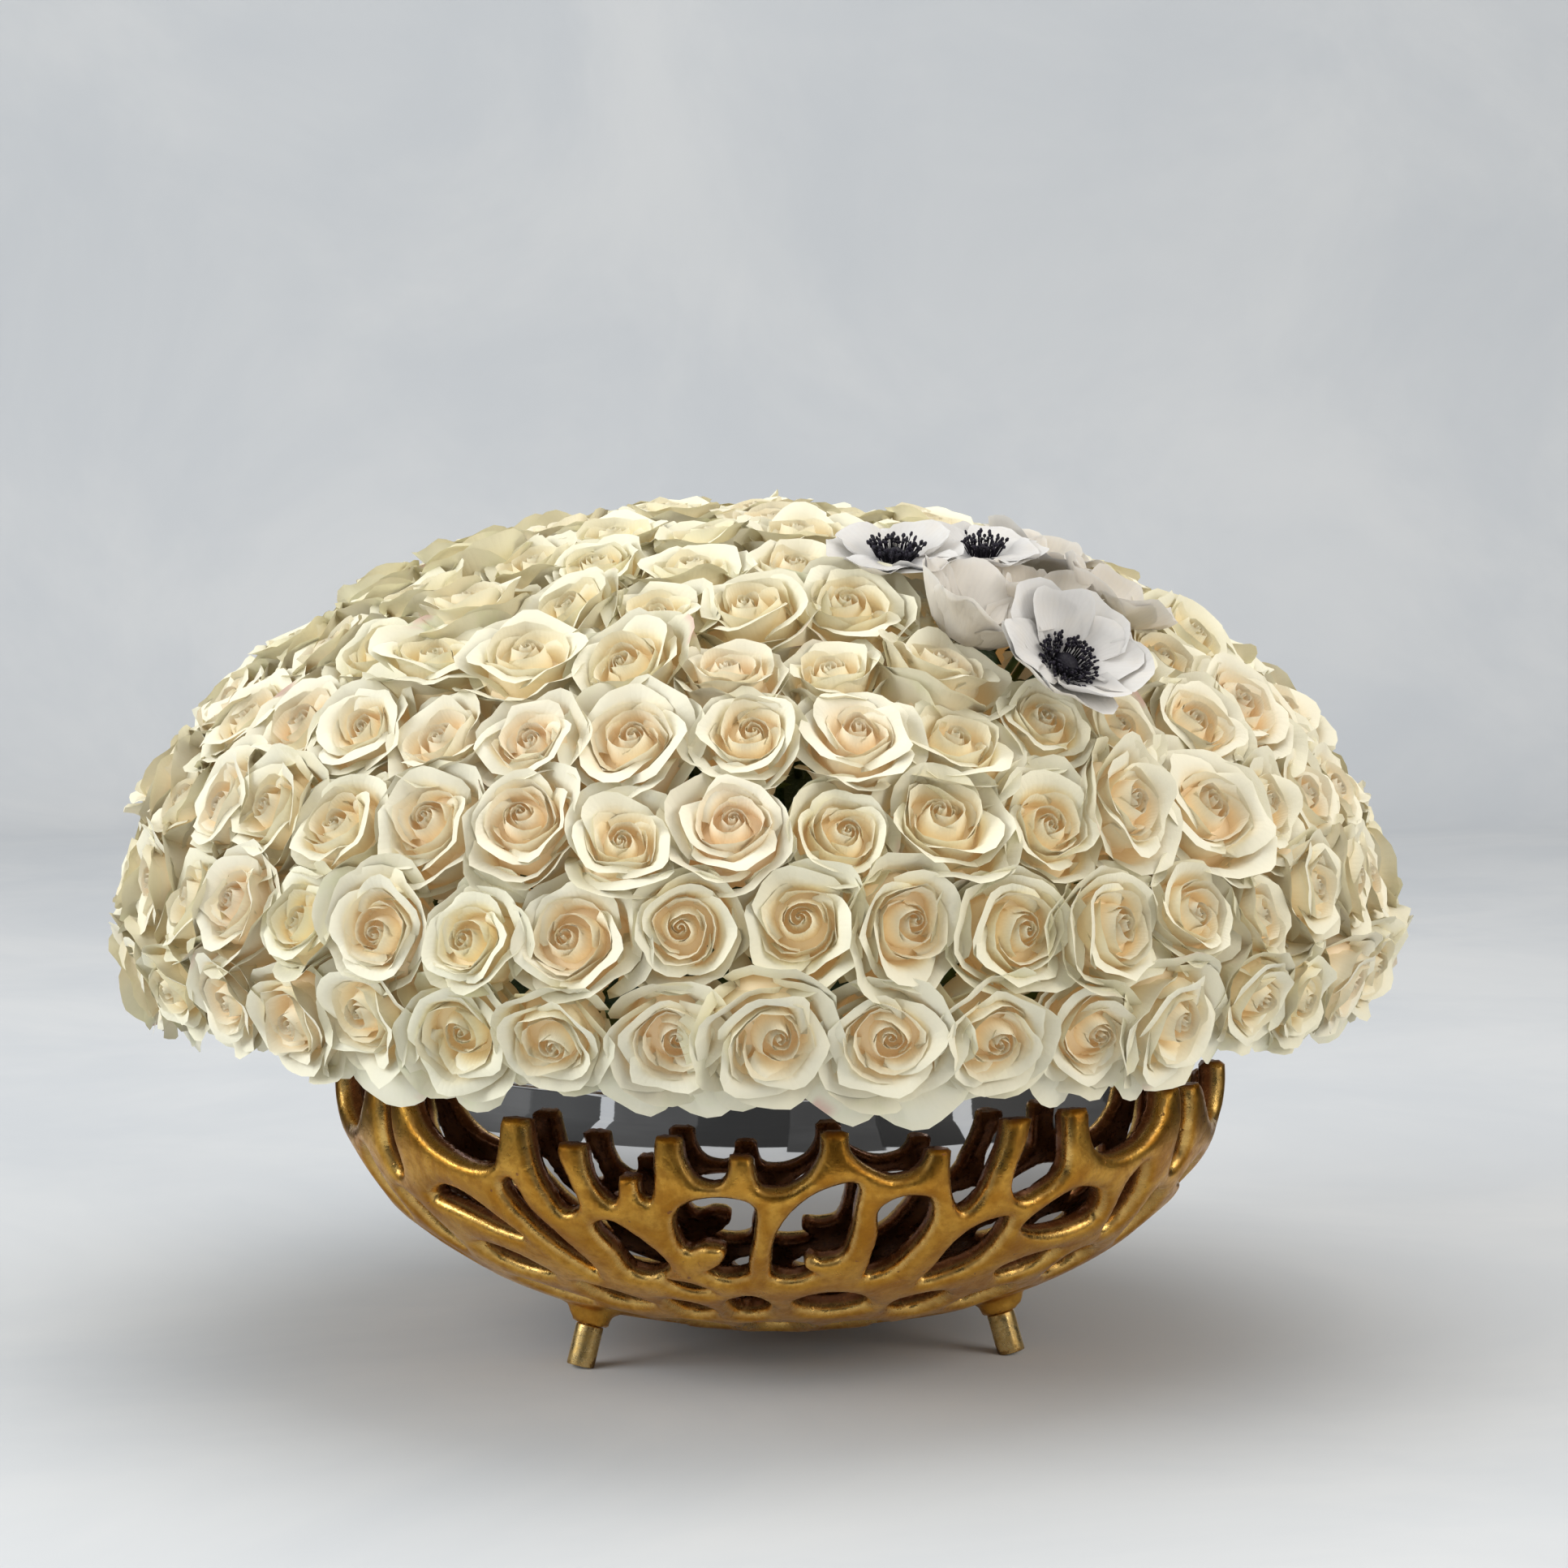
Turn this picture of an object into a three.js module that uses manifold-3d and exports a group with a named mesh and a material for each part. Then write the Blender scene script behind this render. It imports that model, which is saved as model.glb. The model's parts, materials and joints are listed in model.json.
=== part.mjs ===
// Floral table centerpiece: an openwork cast bowl on three screwed-in legs, a polished liner bowl,
// wet floral foam, and a dome of cut roses with a small group of anemones.
// Millimetres, +Z up, origin on the table under the middle of the dome, -Y is the front.

import * as THREE from 'three';
import { mergeVertices } from 'three/addons/utils/BufferGeometryUtils.js';
import Module from 'manifold-3d';

const wasm = await Module();
wasm.setup();

// ---------------------------------------------------------------- driving dimensions
const BASKET = { radius: 240, depth: 133, centreZ: 145, wall: 13, seatRadius: 18, longestEdge: 50 };
const LINER = { radius: 220, depth: 122.5, centreZ: 150, wall: 1.5, rimZ: 170, lip: 2, facets: 40, steps: 7 };
const FOAM = { gap: 0.6, shoulderZ: 160, domeRadius: 200, topZ: 330, aimZ: 170, facets: 20 };
const LEG = { radius: 7.4, tilt: 17, footCircle: 134, planed: 1.5, length: 23, spigotRadius: 4, spigot: 9 };
const BOSS = { radius: 9.75, length: 17, bead: 4.2 };
const LEG_AZIMUTHS = [-52, 68, 188];
const LEG_NAMES = ['leg_front_left', 'leg_front_right', 'leg_back'];
const DOME = { radius: 345, topZ: 458, widestZ: 230, lowerDepth: 145, lowestRowZ: 208 };
const ROSE = { rows: 9, pitch: 53, crownDepth: 10, crownShare: 0.62, headsInArc: 7, parting: 0.8, droop: 20 };
const BOWL_ASIDE = 14; // the bowl stands this far to the right of the dome's axis, as arranged by hand
const TOUCH_GAP = 0.3;

// ---------------------------------------------------------------- small helpers
const radians = THREE.MathUtils.degToRad;

// Azimuth 0 is the front (-Y) and grows towards +X.
function outward(azimuth) {
  return new THREE.Vector3(Math.sin(radians(azimuth)), -Math.cos(radians(azimuth)), 0);
}

function finish(color, roughness, metalness) {
  return new THREE.MeshStandardMaterial({ color, roughness, metalness });
}

function signedVolume(position, index) {
  const [a, b, c] = [new THREE.Vector3(), new THREE.Vector3(), new THREE.Vector3()];
  let sum = 0;
  for (let i = 0; i < index.length; i += 3) {
    a.fromBufferAttribute(position, index[i]);
    b.fromBufferAttribute(position, index[i + 1]);
    c.fromBufferAttribute(position, index[i + 2]);
    sum += a.dot(b.cross(c));
  }
  return sum / 6;
}

// A closed solid from a geometry: corners merged, collapsed triangles dropped, faces turned out.
function toSolid(geometry) {
  geometry.deleteAttribute('normal');
  geometry.deleteAttribute('uv');
  const merged = mergeVertices(geometry, 1e-4);
  const kept = [];
  for (let i = 0; i < merged.index.count; i += 3) {
    const corners = [0, 1, 2].map((k) => merged.index.getX(i + k));
    if (new Set(corners).size === 3) kept.push(...corners);
  }
  const position = merged.getAttribute('position');
  if (signedVolume(position, kept) < 0) kept.reverse();
  return new wasm.Manifold(new wasm.Mesh({
    numProp: 3,
    vertProperties: new Float32Array(position.array),
    triVerts: new Uint32Array(kept),
  }));
}

function toGeometry(solid) {
  const mesh = solid.getMesh();
  const geometry = new THREE.BufferGeometry();
  geometry.setAttribute('position', new THREE.BufferAttribute(new Float32Array(mesh.vertProperties), 3));
  geometry.setIndex(new THREE.BufferAttribute(new Uint32Array(mesh.triVerts), 1));
  return geometry;
}

// A profile of [radius, height] points turned about +Z, its ends on the axis.
function turned(profile, facets, start = 0) {
  const points = profile.map(([r, z]) => new THREE.Vector2(r, z));
  return new THREE.LatheGeometry(points, facets, start).rotateX(Math.PI / 2);
}

// ---------------------------------------------------------------- openwork basket
// The basket is a half-ellipsoid shell. Its pattern is drawn on the shell in degrees:
// azimuth about the axis, and rise from the lowest point (0) to the widest level (90).
// One third of the pattern is listed, and it repeats three times, once for each leg.

function onBasket(azimuth, rise, inset) {
  const reach = (BASKET.radius - inset) * Math.sin(radians(rise));
  const height = BASKET.centreZ - (BASKET.depth - inset) * Math.cos(radians(rise));
  return outward(azimuth).multiplyScalar(reach).setZ(height);
}

// Branch tips: azimuth, half width and rise of the flat top.
const TIPS = [
  { azimuth: -55, half: 2.0, rise: 94 },
  { azimuth: -34, half: 1.9, rise: 93.5 },
  { azimuth: -26, half: 1.9, rise: 89 },
  { azimuth: -18.6, half: 1.3, rise: 82.5 },
  { azimuth: -13.4, half: 1.7, rise: 92 },
  { azimuth: -4.6, half: 1.5, rise: 88.2 },
  { azimuth: 6.6, half: 1.7, rise: 93.5 },
  { azimuth: 19.5, half: 1.5, rise: 88.7 },
  { azimuth: 30.2, half: 1.9, rise: 94 },
  { azimuth: 39, half: 1.9, rise: 94.6 },
  { azimuth: 58, half: 2.1, rise: 95 },
];

// Hollows between one tip and the next, in the order of TIPS.
const HOLLOWS = [
  [[-50.5, 88], [-47, 84], [-42, 81.5], [-38, 82], [-36.4, 87]],
  [[-31.5, 86], [-30.5, 79], [-28.5, 72.5], [-26, 74], [-26.6, 81], [-27.6, 86]],
  [[-23.7, 83], [-22.6, 78], [-21, 76], [-20.2, 78]],
  [[-17.2, 78.5], [-16.3, 77], [-15.5, 80], [-15.2, 87]],
  [[-11.4, 87], [-9.8, 82.5], [-7.6, 81.6], [-6.3, 84.5]],
  [[-2.9, 85], [-2, 81], [0.4, 80.8], [3, 83.2], [4.7, 88]],
  [[8.6, 89], [10.6, 85.5], [13.8, 83], [16.6, 84], [17.8, 86.6]],
  [[21, 84], [22, 77], [23.6, 73.6], [25.2, 76], [26.6, 83], [27.8, 89]],
  [[31, 88], [30, 83], [30, 78], [31.8, 75], [34.6, 76.6], [37.2, 80.6], [37.2, 88]],
  [[41, 89], [42.6, 84.6], [46, 82.4], [51, 84], [54.4, 89]],
  [[60.2, 87], [60, 80], [61.6, 75], [63.6, 77], [63.4, 86]],
];

// Windows between the branches, lowest rows last.
const WINDOWS = [
  [[-52, 71], [-48, 75], [-44, 74], [-40, 69.5], [-37, 64], [-41, 65], [-47, 68.5]],
  [[-37, 78], [-35.2, 79.6], [-33.4, 73], [-30.6, 66.5], [-28, 58], [-28.6, 54.6], [-31, 59], [-35, 69]],
  [[-24.5, 70], [-22, 71.4], [-19, 68], [-16, 61.5], [-16, 58], [-19, 55], [-22, 55.4], [-23, 62]],
  [[-17.4, 54.6], [-13, 53.6], [-10.6, 50.6], [-15, 50.6]],
  [[-13.4, 72], [-11.6, 76.6], [-7.6, 78.4], [-3.6, 77], [-3.2, 70], [-4.2, 62], [-5, 56.6],
    [-8.2, 55.4], [-10.2, 57.6], [-8, 60.6], [-7.4, 64.6], [-9.8, 65.6], [-12.4, 64]],
  [[9.2, 81.8], [9.4, 75], [9.2, 68], [8.2, 62.4], [5.6, 61.4], [4, 62.6], [3.4, 60], [4.8, 57.4],
    [2.6, 55.4], [-0.6, 56], [-1, 62], [-0.4, 69], [2, 76], [5.4, 80.4]],
  [[12.6, 75.6], [15.4, 78.2], [18.6, 77.4], [19.6, 72.4], [18.4, 64.6], [15.6, 57.4], [12.8, 56],
    [12.6, 61], [12.8, 69]],
  [[30.6, 71], [26.4, 69.8], [24, 66], [22.6, 59], [21.8, 53], [25.6, 54.6], [29.6, 58.6], [31, 65]],
  [[33.6, 67.6], [36, 72.6], [40.6, 76], [45.4, 74], [47.2, 67], [43, 64.4], [37, 64.8]],
  [[50.4, 76], [53, 79], [54.6, 74], [54.8, 64], [52.6, 61.4], [50.6, 68]],
  [[34.6, 55.4], [39, 58.4], [44.6, 58.4], [43.6, 53.4], [37.4, 51]],
  [[48.6, 56], [54, 56.6], [59.6, 51], [56, 46.4], [49.6, 48.6]],
  [[59.4, 70.6], [63, 68.6], [65.6, 60.6], [64, 55.6], [60.6, 59.6]],
  [[-50, 58.6], [-45.6, 60], [-40, 57.4], [-37.4, 52.6], [-43, 51.4], [-49, 54.6]],
  [[-51, 46.6], [-45, 46.4], [-37.6, 42], [-41, 38.8], [-49.6, 41.4]],
  [[-33.6, 50.6], [-27.4, 48.4], [-23, 43.4], [-28.6, 41], [-33.6, 43.6]],
  [[-19.4, 46.6], [-13.8, 45], [-12.4, 39.8], [-18, 38]],
  [[-8.6, 46.6], [-4.6, 49.6], [-1.8, 45.6], [-3, 40.2], [-7.6, 39]],
  [[2.6, 47.4], [7.4, 51], [12.6, 49.4], [15.6, 43.6], [9.6, 40.6], [3.6, 42.4]],
  [[20.6, 46.6], [27, 48.6], [30.8, 43.6], [28.6, 38.2], [21.6, 39.6]],
  [[35.6, 45.4], [42.6, 46.6], [46.4, 41.6], [43, 36.6], [36.2, 38]],
  [[50.6, 42], [56, 40.6], [57, 33], [53.6, 26.6], [49.4, 32]],
  [[-43.6, 34.4], [-34, 35.6], [-30.6, 27], [-36, 21.4], [-43.6, 24]],
  [[-26, 33.6], [-14.6, 33.6], [-11.6, 26.6], [-19, 21], [-26.6, 24.6]],
  [[-7.4, 33.6], [2.6, 35.4], [8.4, 29.6], [3, 22], [-6.6, 22.6]],
  [[13, 34.4], [22.6, 33.4], [27.6, 27.4], [21, 20.6], [11.6, 24]],
  [[31.6, 32.4], [42, 32.4], [45, 24.6], [38.6, 19.6], [31, 23.4]],
  [[-54, 18], [-36, 16.6], [-30, 10.6], [-46, 8.6], [-58, 12.4]],
  [[-18, 15.6], [4, 17], [10, 11.4], [-4, 8.6], [-20, 10.4]],
  [[22, 14.6], [44, 15], [51, 10.4], [36, 8.4], [20, 10.4]],
];

// Where one third meets the next: down a tip, along solid branches, past the leg, to the lowest point.
const SEAM = [
  [-53.6, 82], [-54.5, 74], [-53.4, 68], [-52, 60], [-53, 50], [-54, 42], [-53, 31], [-60, 20],
  [-63, 12], [-63, 0],
];

// A smooth closed outline through the listed points, in steps of about the given length.
function smoothLoop(points, step) {
  const curve = new THREE.CatmullRomCurve3(points.map(([x, y]) => new THREE.Vector3(x, y, 0)), true);
  const onShell = curve.getPoints(60).map((p) => onBasket(p.x, p.y, 0));
  const around = onShell.reduce((sum, p, i) => sum + (i ? p.distanceTo(onShell[i - 1]) : 0), 0);
  const count = Math.max(7, Math.round(around / step));
  return curve.getSpacedPoints(count).slice(0, count).map((p) => [p.x, p.y]);
}

// The rim of one third, from the middle of its first tip to the middle of the next third's first tip.
function rimLine() {
  const line = [];
  TIPS.forEach((tip, i) => {
    const last = i === TIPS.length - 1;
    const next = last ? { ...TIPS[0], azimuth: TIPS[0].azimuth + 120 } : TIPS[i + 1];
    const edges = [[tip.azimuth + tip.half, tip.rise], ...HOLLOWS[i], [next.azimuth - next.half, next.rise]];
    const curve = new THREE.SplineCurve(edges.map(([x, y]) => new THREE.Vector2(x, y)));
    line.push([tip.azimuth, tip.rise], ...curve.getSpacedPoints(edges.length + 3).map((p) => [p.x, p.y]));
    if (last) line.push([next.azimuth, next.rise]);
  });
  return line;
}

// The whole pattern as one sheet of triangles on the shell, its thirds joined along their seams.
function patternSheet() {
  const points = [];
  const numbers = new Map();
  const number = ([azimuth, rise], turn) => {
    const around = (((azimuth + turn) % 360) + 360) % 360;
    const key = rise === 0 ? 'lowest' : `${around.toFixed(4)} ${rise.toFixed(4)}`;
    if (!numbers.has(key)) numbers.set(key, points.push([around, rise]) - 1);
    return numbers.get(key);
  };
  const rightSeam = SEAM.map(([azimuth, rise]) => [azimuth + 120, rise]);
  const contour = [...rimLine(), ...rightSeam, ...[...SEAM].reverse()];
  const holes = WINDOWS.map((outline) => smoothLoop(outline, outline[0][1] < 50 ? 15 : 9));
  const flat = [contour, ...holes].map((loop) => loop.map(([x, y]) => new THREE.Vector2(x, y)));
  const corners = [contour, ...holes].flat();
  const cut = THREE.ShapeUtils.triangulateShape(flat[0], flat.slice(1));
  const triangles = [0, 120, 240].flatMap((turn) => cut.map((face) => {
    const [p, q, r] = face.map((k) => corners[k]);
    const left = (q[0] - p[0]) * (r[1] - p[1]) - (q[1] - p[1]) * (r[0] - p[0]) > 0;
    return (left ? [p, q, r] : [p, r, q]).map((corner) => number(corner, turn));
  }));
  return { points, triangles: triangles.filter((face) => new Set(face).size === 3) };
}

// The place on the shell, in degrees, straight outwards from the middle of two others.
function between([azimuthA, riseA], [azimuthB, riseB]) {
  const middle = onBasket(azimuthA, riseA, 0).lerp(onBasket(azimuthB, riseB, 0), 0.5);
  const across = Math.hypot(middle.x, middle.y) / BASKET.radius;
  const azimuth = THREE.MathUtils.radToDeg(Math.atan2(middle.x, -middle.y));
  const rise = THREE.MathUtils.radToDeg(Math.atan2(across, (BASKET.centreZ - middle.z) / BASKET.depth));
  return [azimuth, rise];
}

// Long edges are halved, longest first, so that flat faces keep close to the curved wall.
function splitLongEdges({ points, triangles }, limit) {
  const span = (a, b) => onBasket(...points[a], 0).distanceTo(onBasket(...points[b], 0));
  for (;;) {
    let longest = { length: limit };
    for (const [a, b, c] of triangles) {
      for (const [p, q] of [[a, b], [b, c], [c, a]]) {
        const length = p < q ? span(p, q) : 0;
        if (length > longest.length) longest = { length, p, q };
      }
    }
    if (longest.length === limit) return { points, triangles };
    const { p, q } = longest;
    const m = points.push(between(points[p], points[q])) - 1;
    triangles = triangles.flatMap((face) => {
      if (!face.includes(p) || !face.includes(q)) return [face];
      return [face.map((k) => (k === p ? m : k)), face.map((k) => (k === q ? m : k))];
    });
  }
}

// The sheet given the thickness of the wall: an outer face, an inner face, and walls at every edge.
function patternedShell() {
  const { points, triangles } = splitLongEdges(patternSheet(), BASKET.longestEdge);
  const count = points.length;
  const corners = [0, BASKET.wall].flatMap((inset) => points.map(([az, rise]) => onBasket(az, rise, inset)));
  const edges = new Set(triangles.flatMap(([a, b, c]) => [`${a} ${b}`, `${b} ${c}`, `${c} ${a}`]));
  const faces = triangles.flatMap(([a, b, c]) => [a, b, c, c + count, b + count, a + count]);
  for (const edge of edges) {
    const [a, b] = edge.split(' ').map(Number);
    if (!edges.has(`${b} ${a}`)) faces.push(b, a, a + count, b, a + count, b + count);
  }
  const geometry = new THREE.BufferGeometry().setFromPoints(corners);
  geometry.setIndex(faces);
  return toSolid(geometry);
}

function legFrame(azimuth) {
  const axis = outward(azimuth).multiplyScalar(-Math.sin(radians(LEG.tilt)));
  axis.z = Math.cos(radians(LEG.tilt));
  const side = outward(azimuth + 90);
  const across = new THREE.Vector3().crossVectors(axis, side);
  const foot = outward(azimuth).multiplyScalar(LEG.footCircle);
  return new THREE.Matrix4().makeBasis(side, across, axis).setPosition(foot);
}

function rod(radius, from, to, facets, azimuth) {
  const geometry = new THREE.CylinderGeometry(radius, radius, to - from, facets);
  geometry.rotateX(Math.PI / 2).translate(0, 0, (from + to) / 2);
  return geometry.applyMatrix4(legFrame(azimuth));
}

function basketGeometry() {
  const lowest = BASKET.centreZ - BASKET.depth + 2;
  const seatTop = LINER.centreZ - LINER.depth - TOUCH_GAP;
  const seat = new THREE.CylinderGeometry(BASKET.seatRadius, BASKET.seatRadius, seatTop - lowest, 24);
  seat.rotateX(Math.PI / 2).translate(0, 0, (seatTop + lowest) / 2);
  let shell = patternedShell().add(toSolid(seat));
  for (const azimuth of LEG_AZIMUTHS) {
    const bead = new THREE.SphereGeometry(BOSS.bead, 8, 6);
    bead.translate(0, -BOSS.radius, LEG.length + BOSS.length / 3).applyMatrix4(legFrame(azimuth));
    shell = shell
      .add(toSolid(rod(BOSS.radius, LEG.length, LEG.length + BOSS.length, 20, azimuth)))
      .add(toSolid(bead))
      .subtract(toSolid(rod(LEG.spigotRadius + TOUCH_GAP, LEG.length - 1,
        LEG.length + LEG.spigot + TOUCH_GAP, 14, azimuth)));
  }
  return toGeometry(shell);
}

// ---------------------------------------------------------------- legs
// A leg leans outwards, ends square to its axis, and has its low edge planed level with the table.
function legGeometry(azimuth) {
  const centreLift = LEG.radius * Math.sin(radians(LEG.tilt)) - LEG.planed;
  const start = centreLift / Math.cos(radians(LEG.tilt));
  const top = LEG.length - TOUCH_GAP;
  const body = toSolid(rod(LEG.radius, start, top, 28, azimuth));
  const spigot = toSolid(rod(LEG.spigotRadius, top - 1, LEG.length + LEG.spigot - TOUCH_GAP, 14, azimuth));
  const below = new THREE.BoxGeometry(60, 60, 20).translate(0, 0, -10);
  const table = toSolid(below.translate(...outward(azimuth).multiplyScalar(LEG.footCircle).toArray()));
  return toGeometry(body.add(spigot).subtract(table));
}

// ---------------------------------------------------------------- liner bowl and foam
function bowlArc(radius, depth, centreZ, steps) {
  return Array.from({ length: steps + 1 }, (_, i) => {
    const rise = (Math.PI / 2) * (i / steps);
    return [radius * Math.sin(rise), centreZ - depth * Math.cos(rise)];
  });
}

function linerGeometry() {
  const { radius, depth, centreZ, wall, rimZ, lip, facets, steps } = LINER;
  const outer = bowlArc(radius, depth, centreZ, steps);
  const inner = bowlArc(radius - wall, depth - wall, centreZ, steps);
  const rim = [[radius, rimZ - 2 * lip], [radius + lip, rimZ - lip], [radius + lip / 2, rimZ], [radius - wall, rimZ]];
  return turned([...outer, ...rim, ...inner.reverse()], facets);
}

function foamGeometry() {
  const inset = LINER.wall + FOAM.gap;
  const inBowl = bowlArc(LINER.radius - inset, LINER.depth - inset, LINER.centreZ, LINER.steps);
  const dome = bowlArc(FOAM.domeRadius, FOAM.topZ - FOAM.shoulderZ, FOAM.shoulderZ, 5)
    .map(([r, z]) => [r, 2 * FOAM.shoulderZ - z]).reverse();
  return turned([...inBowl, [LINER.radius - inset, FOAM.shoulderZ - 4], ...dome], FOAM.facets);
}

// ---------------------------------------------------------------- dome of flowers
// The dome's meridian: a half-ellipse above its widest level and a shorter one below it.
function domePoint(angle) {
  const reach = Math.sin(angle);
  const lift = Math.cos(angle);
  const depth = angle < Math.PI / 2 ? DOME.topZ - DOME.widestZ : DOME.lowerDepth;
  const normal = new THREE.Vector2(reach / DOME.radius, lift / depth).normalize();
  return { r: DOME.radius * reach, z: DOME.widestZ + depth * lift, normal };
}

// Rows of heads, evenly spaced along the surface that holds their widest parts.
function flowerRows() {
  const steps = 2000;
  const trail = [];
  let length = 0;
  let before = null;
  for (let i = 0; ; i += 1) {
    const p = domePoint((Math.PI * i) / steps);
    const wide = new THREE.Vector2(p.r, p.z).addScaledVector(p.normal, -ROSE.crownDepth);
    if (before) length += wide.distanceTo(before);
    trail.push({ ...p, wide, length });
    before = wide;
    if (p.z < DOME.lowestRowZ && p.normal.y < 0) break;
  }
  const rowPitch = length / ROSE.rows;
  const rows = [];
  for (let k = 0; k <= ROSE.rows; k += 1) {
    const spot = trail.find((t) => t.length >= k * rowPitch - 1e-6) ?? trail[trail.length - 1];
    const count = k === 0 ? 1 : Math.round((2 * Math.PI * spot.r) / ROSE.pitch);
    rows.push({ ...spot, count, rowPitch });
  }
  return rows;
}

const ROWS = flowerRows();

// Anemones take the place of a few roses: row, place in the row, rim radius and lift above the roses.
const ANEMONES = [
  { row: 5, slot: 3, radius: 33, lift: 18 },
  { row: 3, slot: 1, radius: 26, lift: 8 },
  { row: 3, slot: 2, radius: 24, lift: 6 },
  { row: 4, slot: 2, radius: 24, lift: 4 },
  { row: 3, slot: 3, radius: 24, lift: 4 },
  { row: 4, slot: 4, radius: 24, lift: 4 },
  { row: 4, slot: 3, radius: 24, lift: 0 },
];

// Azimuth of slot 0 in each row; neighbouring rows are offset like bricks.
const ROW_START = [0, 8, 15, 8, 0.5, -2.3, -1.2, -1.2, 4.1, 2.4];

function slotAzimuth(row, slot) {
  return ROW_START[row] + (360 * slot) / ROWS[row].count;
}

// Local frame of a head: X along the row, Y up the meridian, Z out of the dome.
function headFrame(row, azimuth) {
  const { r, z, normal } = ROWS[row];
  const out = outward(azimuth).multiplyScalar(normal.x).setZ(normal.y);
  const along = outward(azimuth + 90);
  const uphill = new THREE.Vector3().crossVectors(out, along);
  const centre = outward(azimuth).multiplyScalar(r).setZ(z);
  return new THREE.Matrix4().makeBasis(along, uphill, out).setPosition(centre);
}

// Where a head's stem meets the foam, in the head's own frame: every stem aims at one point inside.
function stemEnd(row, azimuth) {
  const { r, z, normal } = ROWS[row];
  const turnBack = new THREE.Matrix4().extractRotation(headFrame(row, azimuth)).transpose();
  const clear = 1.02;
  const aim = new THREE.Vector2(-r, FOAM.aimZ - z).normalize();
  let length = 0;
  while (Math.hypot((r + aim.x * length) / FOAM.domeRadius,
    (z + aim.y * length - FOAM.shoulderZ) / (FOAM.topZ - FOAM.shoulderZ)) > clear) length += 0.5;
  const uphill = new THREE.Vector2(-normal.y, normal.x);
  const aside = new THREE.Vector3(BOWL_ASIDE, 0, 0).applyMatrix4(turnBack);
  return new THREE.Vector3(0, aim.dot(uphill) * length, aim.dot(normal) * length).add(aside);
}

// The pointed underside of a turned head is drawn down to where its stem meets the foam.
function withStem(head, row, azimuth) {
  const position = head.getAttribute('position');
  const end = stemEnd(row, azimuth);
  for (let i = 0; i < position.count; i += 1) {
    if (position.getZ(i) < end.z / 2) position.setXYZ(i, end.x, end.y, end.z);
  }
  return head;
}

// A rose: six-sided, widest a little under its crown, tapering to a stem end at the foam.
function roseSolid(row, azimuth, radius) {
  const bottom = stemEnd(row, azimuth).z;
  const head = turned([[0, bottom], [radius, -ROSE.crownDepth], [radius * ROSE.crownShare, 0], [0, 0]],
    6, Math.PI / 2);
  return toSolid(withStem(head, row, azimuth).applyMatrix4(headFrame(row, azimuth)));
}

// One arc of a row: neighbouring heads grown into each other at narrow waists.
// The guard petals of the lowest row hang over the rim of the bowl.
function roseArc(row, firstSlot, heads) {
  const { count, wide, rowPitch } = ROWS[row];
  const pitch = (2 * Math.PI * wide.x) / count - ROSE.parting / heads;
  const spacing = THREE.MathUtils.radToDeg(pitch / wide.x);
  const middle = slotAzimuth(row, firstSlot + (heads - 1) / 2);
  const halfUp = rowPitch / 2 - 0.8;
  const points = [];
  const faces = [];
  const add = (frame, x, y, z) => points.push(new THREE.Vector3(x, y, z).applyMatrix4(frame)) - 1;

  const waists = Array.from({ length: heads + 1 }, (_, i) => {
    const frame = headFrame(row, middle + (i - heads / 2) * spacing);
    const depth = -ROSE.crownDepth;
    return { up: add(frame, 0, -5, depth - 5), out: add(frame, 0, 0, depth + 4), down: add(frame, 0, 5, depth - 5) };
  });

  for (let i = 0; i < heads; i += 1) {
    const azimuth = middle + (i - (heads - 1) / 2) * spacing;
    const frame = headFrame(row, azimuth);
    const crown = (sx, sy) => add(frame, sx * pitch * 0.2, sy * halfUp * ROSE.crownShare, 0);
    const edge = (sx, sy) => {
      const hang = row === ROSE.rows && sy < 0 ? ROSE.droop : 0;
      return add(frame, sx * pitch * 0.3, sy * (halfUp + hang), -ROSE.crownDepth);
    };
    const [c00, c10, c11, c01] = [crown(-1, -1), crown(1, -1), crown(1, 1), crown(-1, 1)];
    const [e00, e10, e11, e01] = [edge(-1, -1), edge(1, -1), edge(1, 1), edge(-1, 1)];
    const stem = add(frame, ...stemEnd(row, azimuth).toArray());
    const [left, right] = [waists[i], waists[i + 1]];
    faces.push(
      c00, c10, c11, c00, c11, c01,
      e00, e10, c10, e00, c10, c00,
      e11, e01, c01, e11, c01, c11,
      c10, e10, right.up, c10, right.up, right.out, c10, right.out, c11,
      c11, right.out, right.down, c11, right.down, e11,
      c01, e01, left.down, c01, left.down, left.out, c01, left.out, c00,
      c00, left.out, left.up, c00, left.up, e00,
      e10, e00, stem, e01, e11, stem,
      right.up, e10, stem, right.down, right.up, stem, e11, right.down, stem,
      e00, left.up, stem, left.up, left.down, stem, left.down, e01, stem,
    );
  }
  const [first, last] = [waists[0], waists[heads]];
  faces.push(first.up, first.out, first.down, last.down, last.out, last.up);
  const geometry = new THREE.BufferGeometry().setFromPoints(points);
  geometry.setIndex(faces);
  return toGeometry(toSolid(geometry));
}

// The crown: the rose at the top with the six around it, which it just reaches.
function roseCrown() {
  const { wide, rowPitch } = ROWS[1];
  const radius = (rowPitch / 2 - 1.2) / Math.cos(Math.PI / 6);
  const topRadius = wide.x - radius * Math.cos(Math.PI / 6) + 1.5;
  let crown = roseSolid(0, ROW_START[1] + 90, topRadius);
  for (let slot = 0; slot < ROWS[1].count; slot += 1) {
    crown = crown.add(roseSolid(1, slotAzimuth(1, slot), radius));
  }
  return toGeometry(crown);
}

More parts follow.
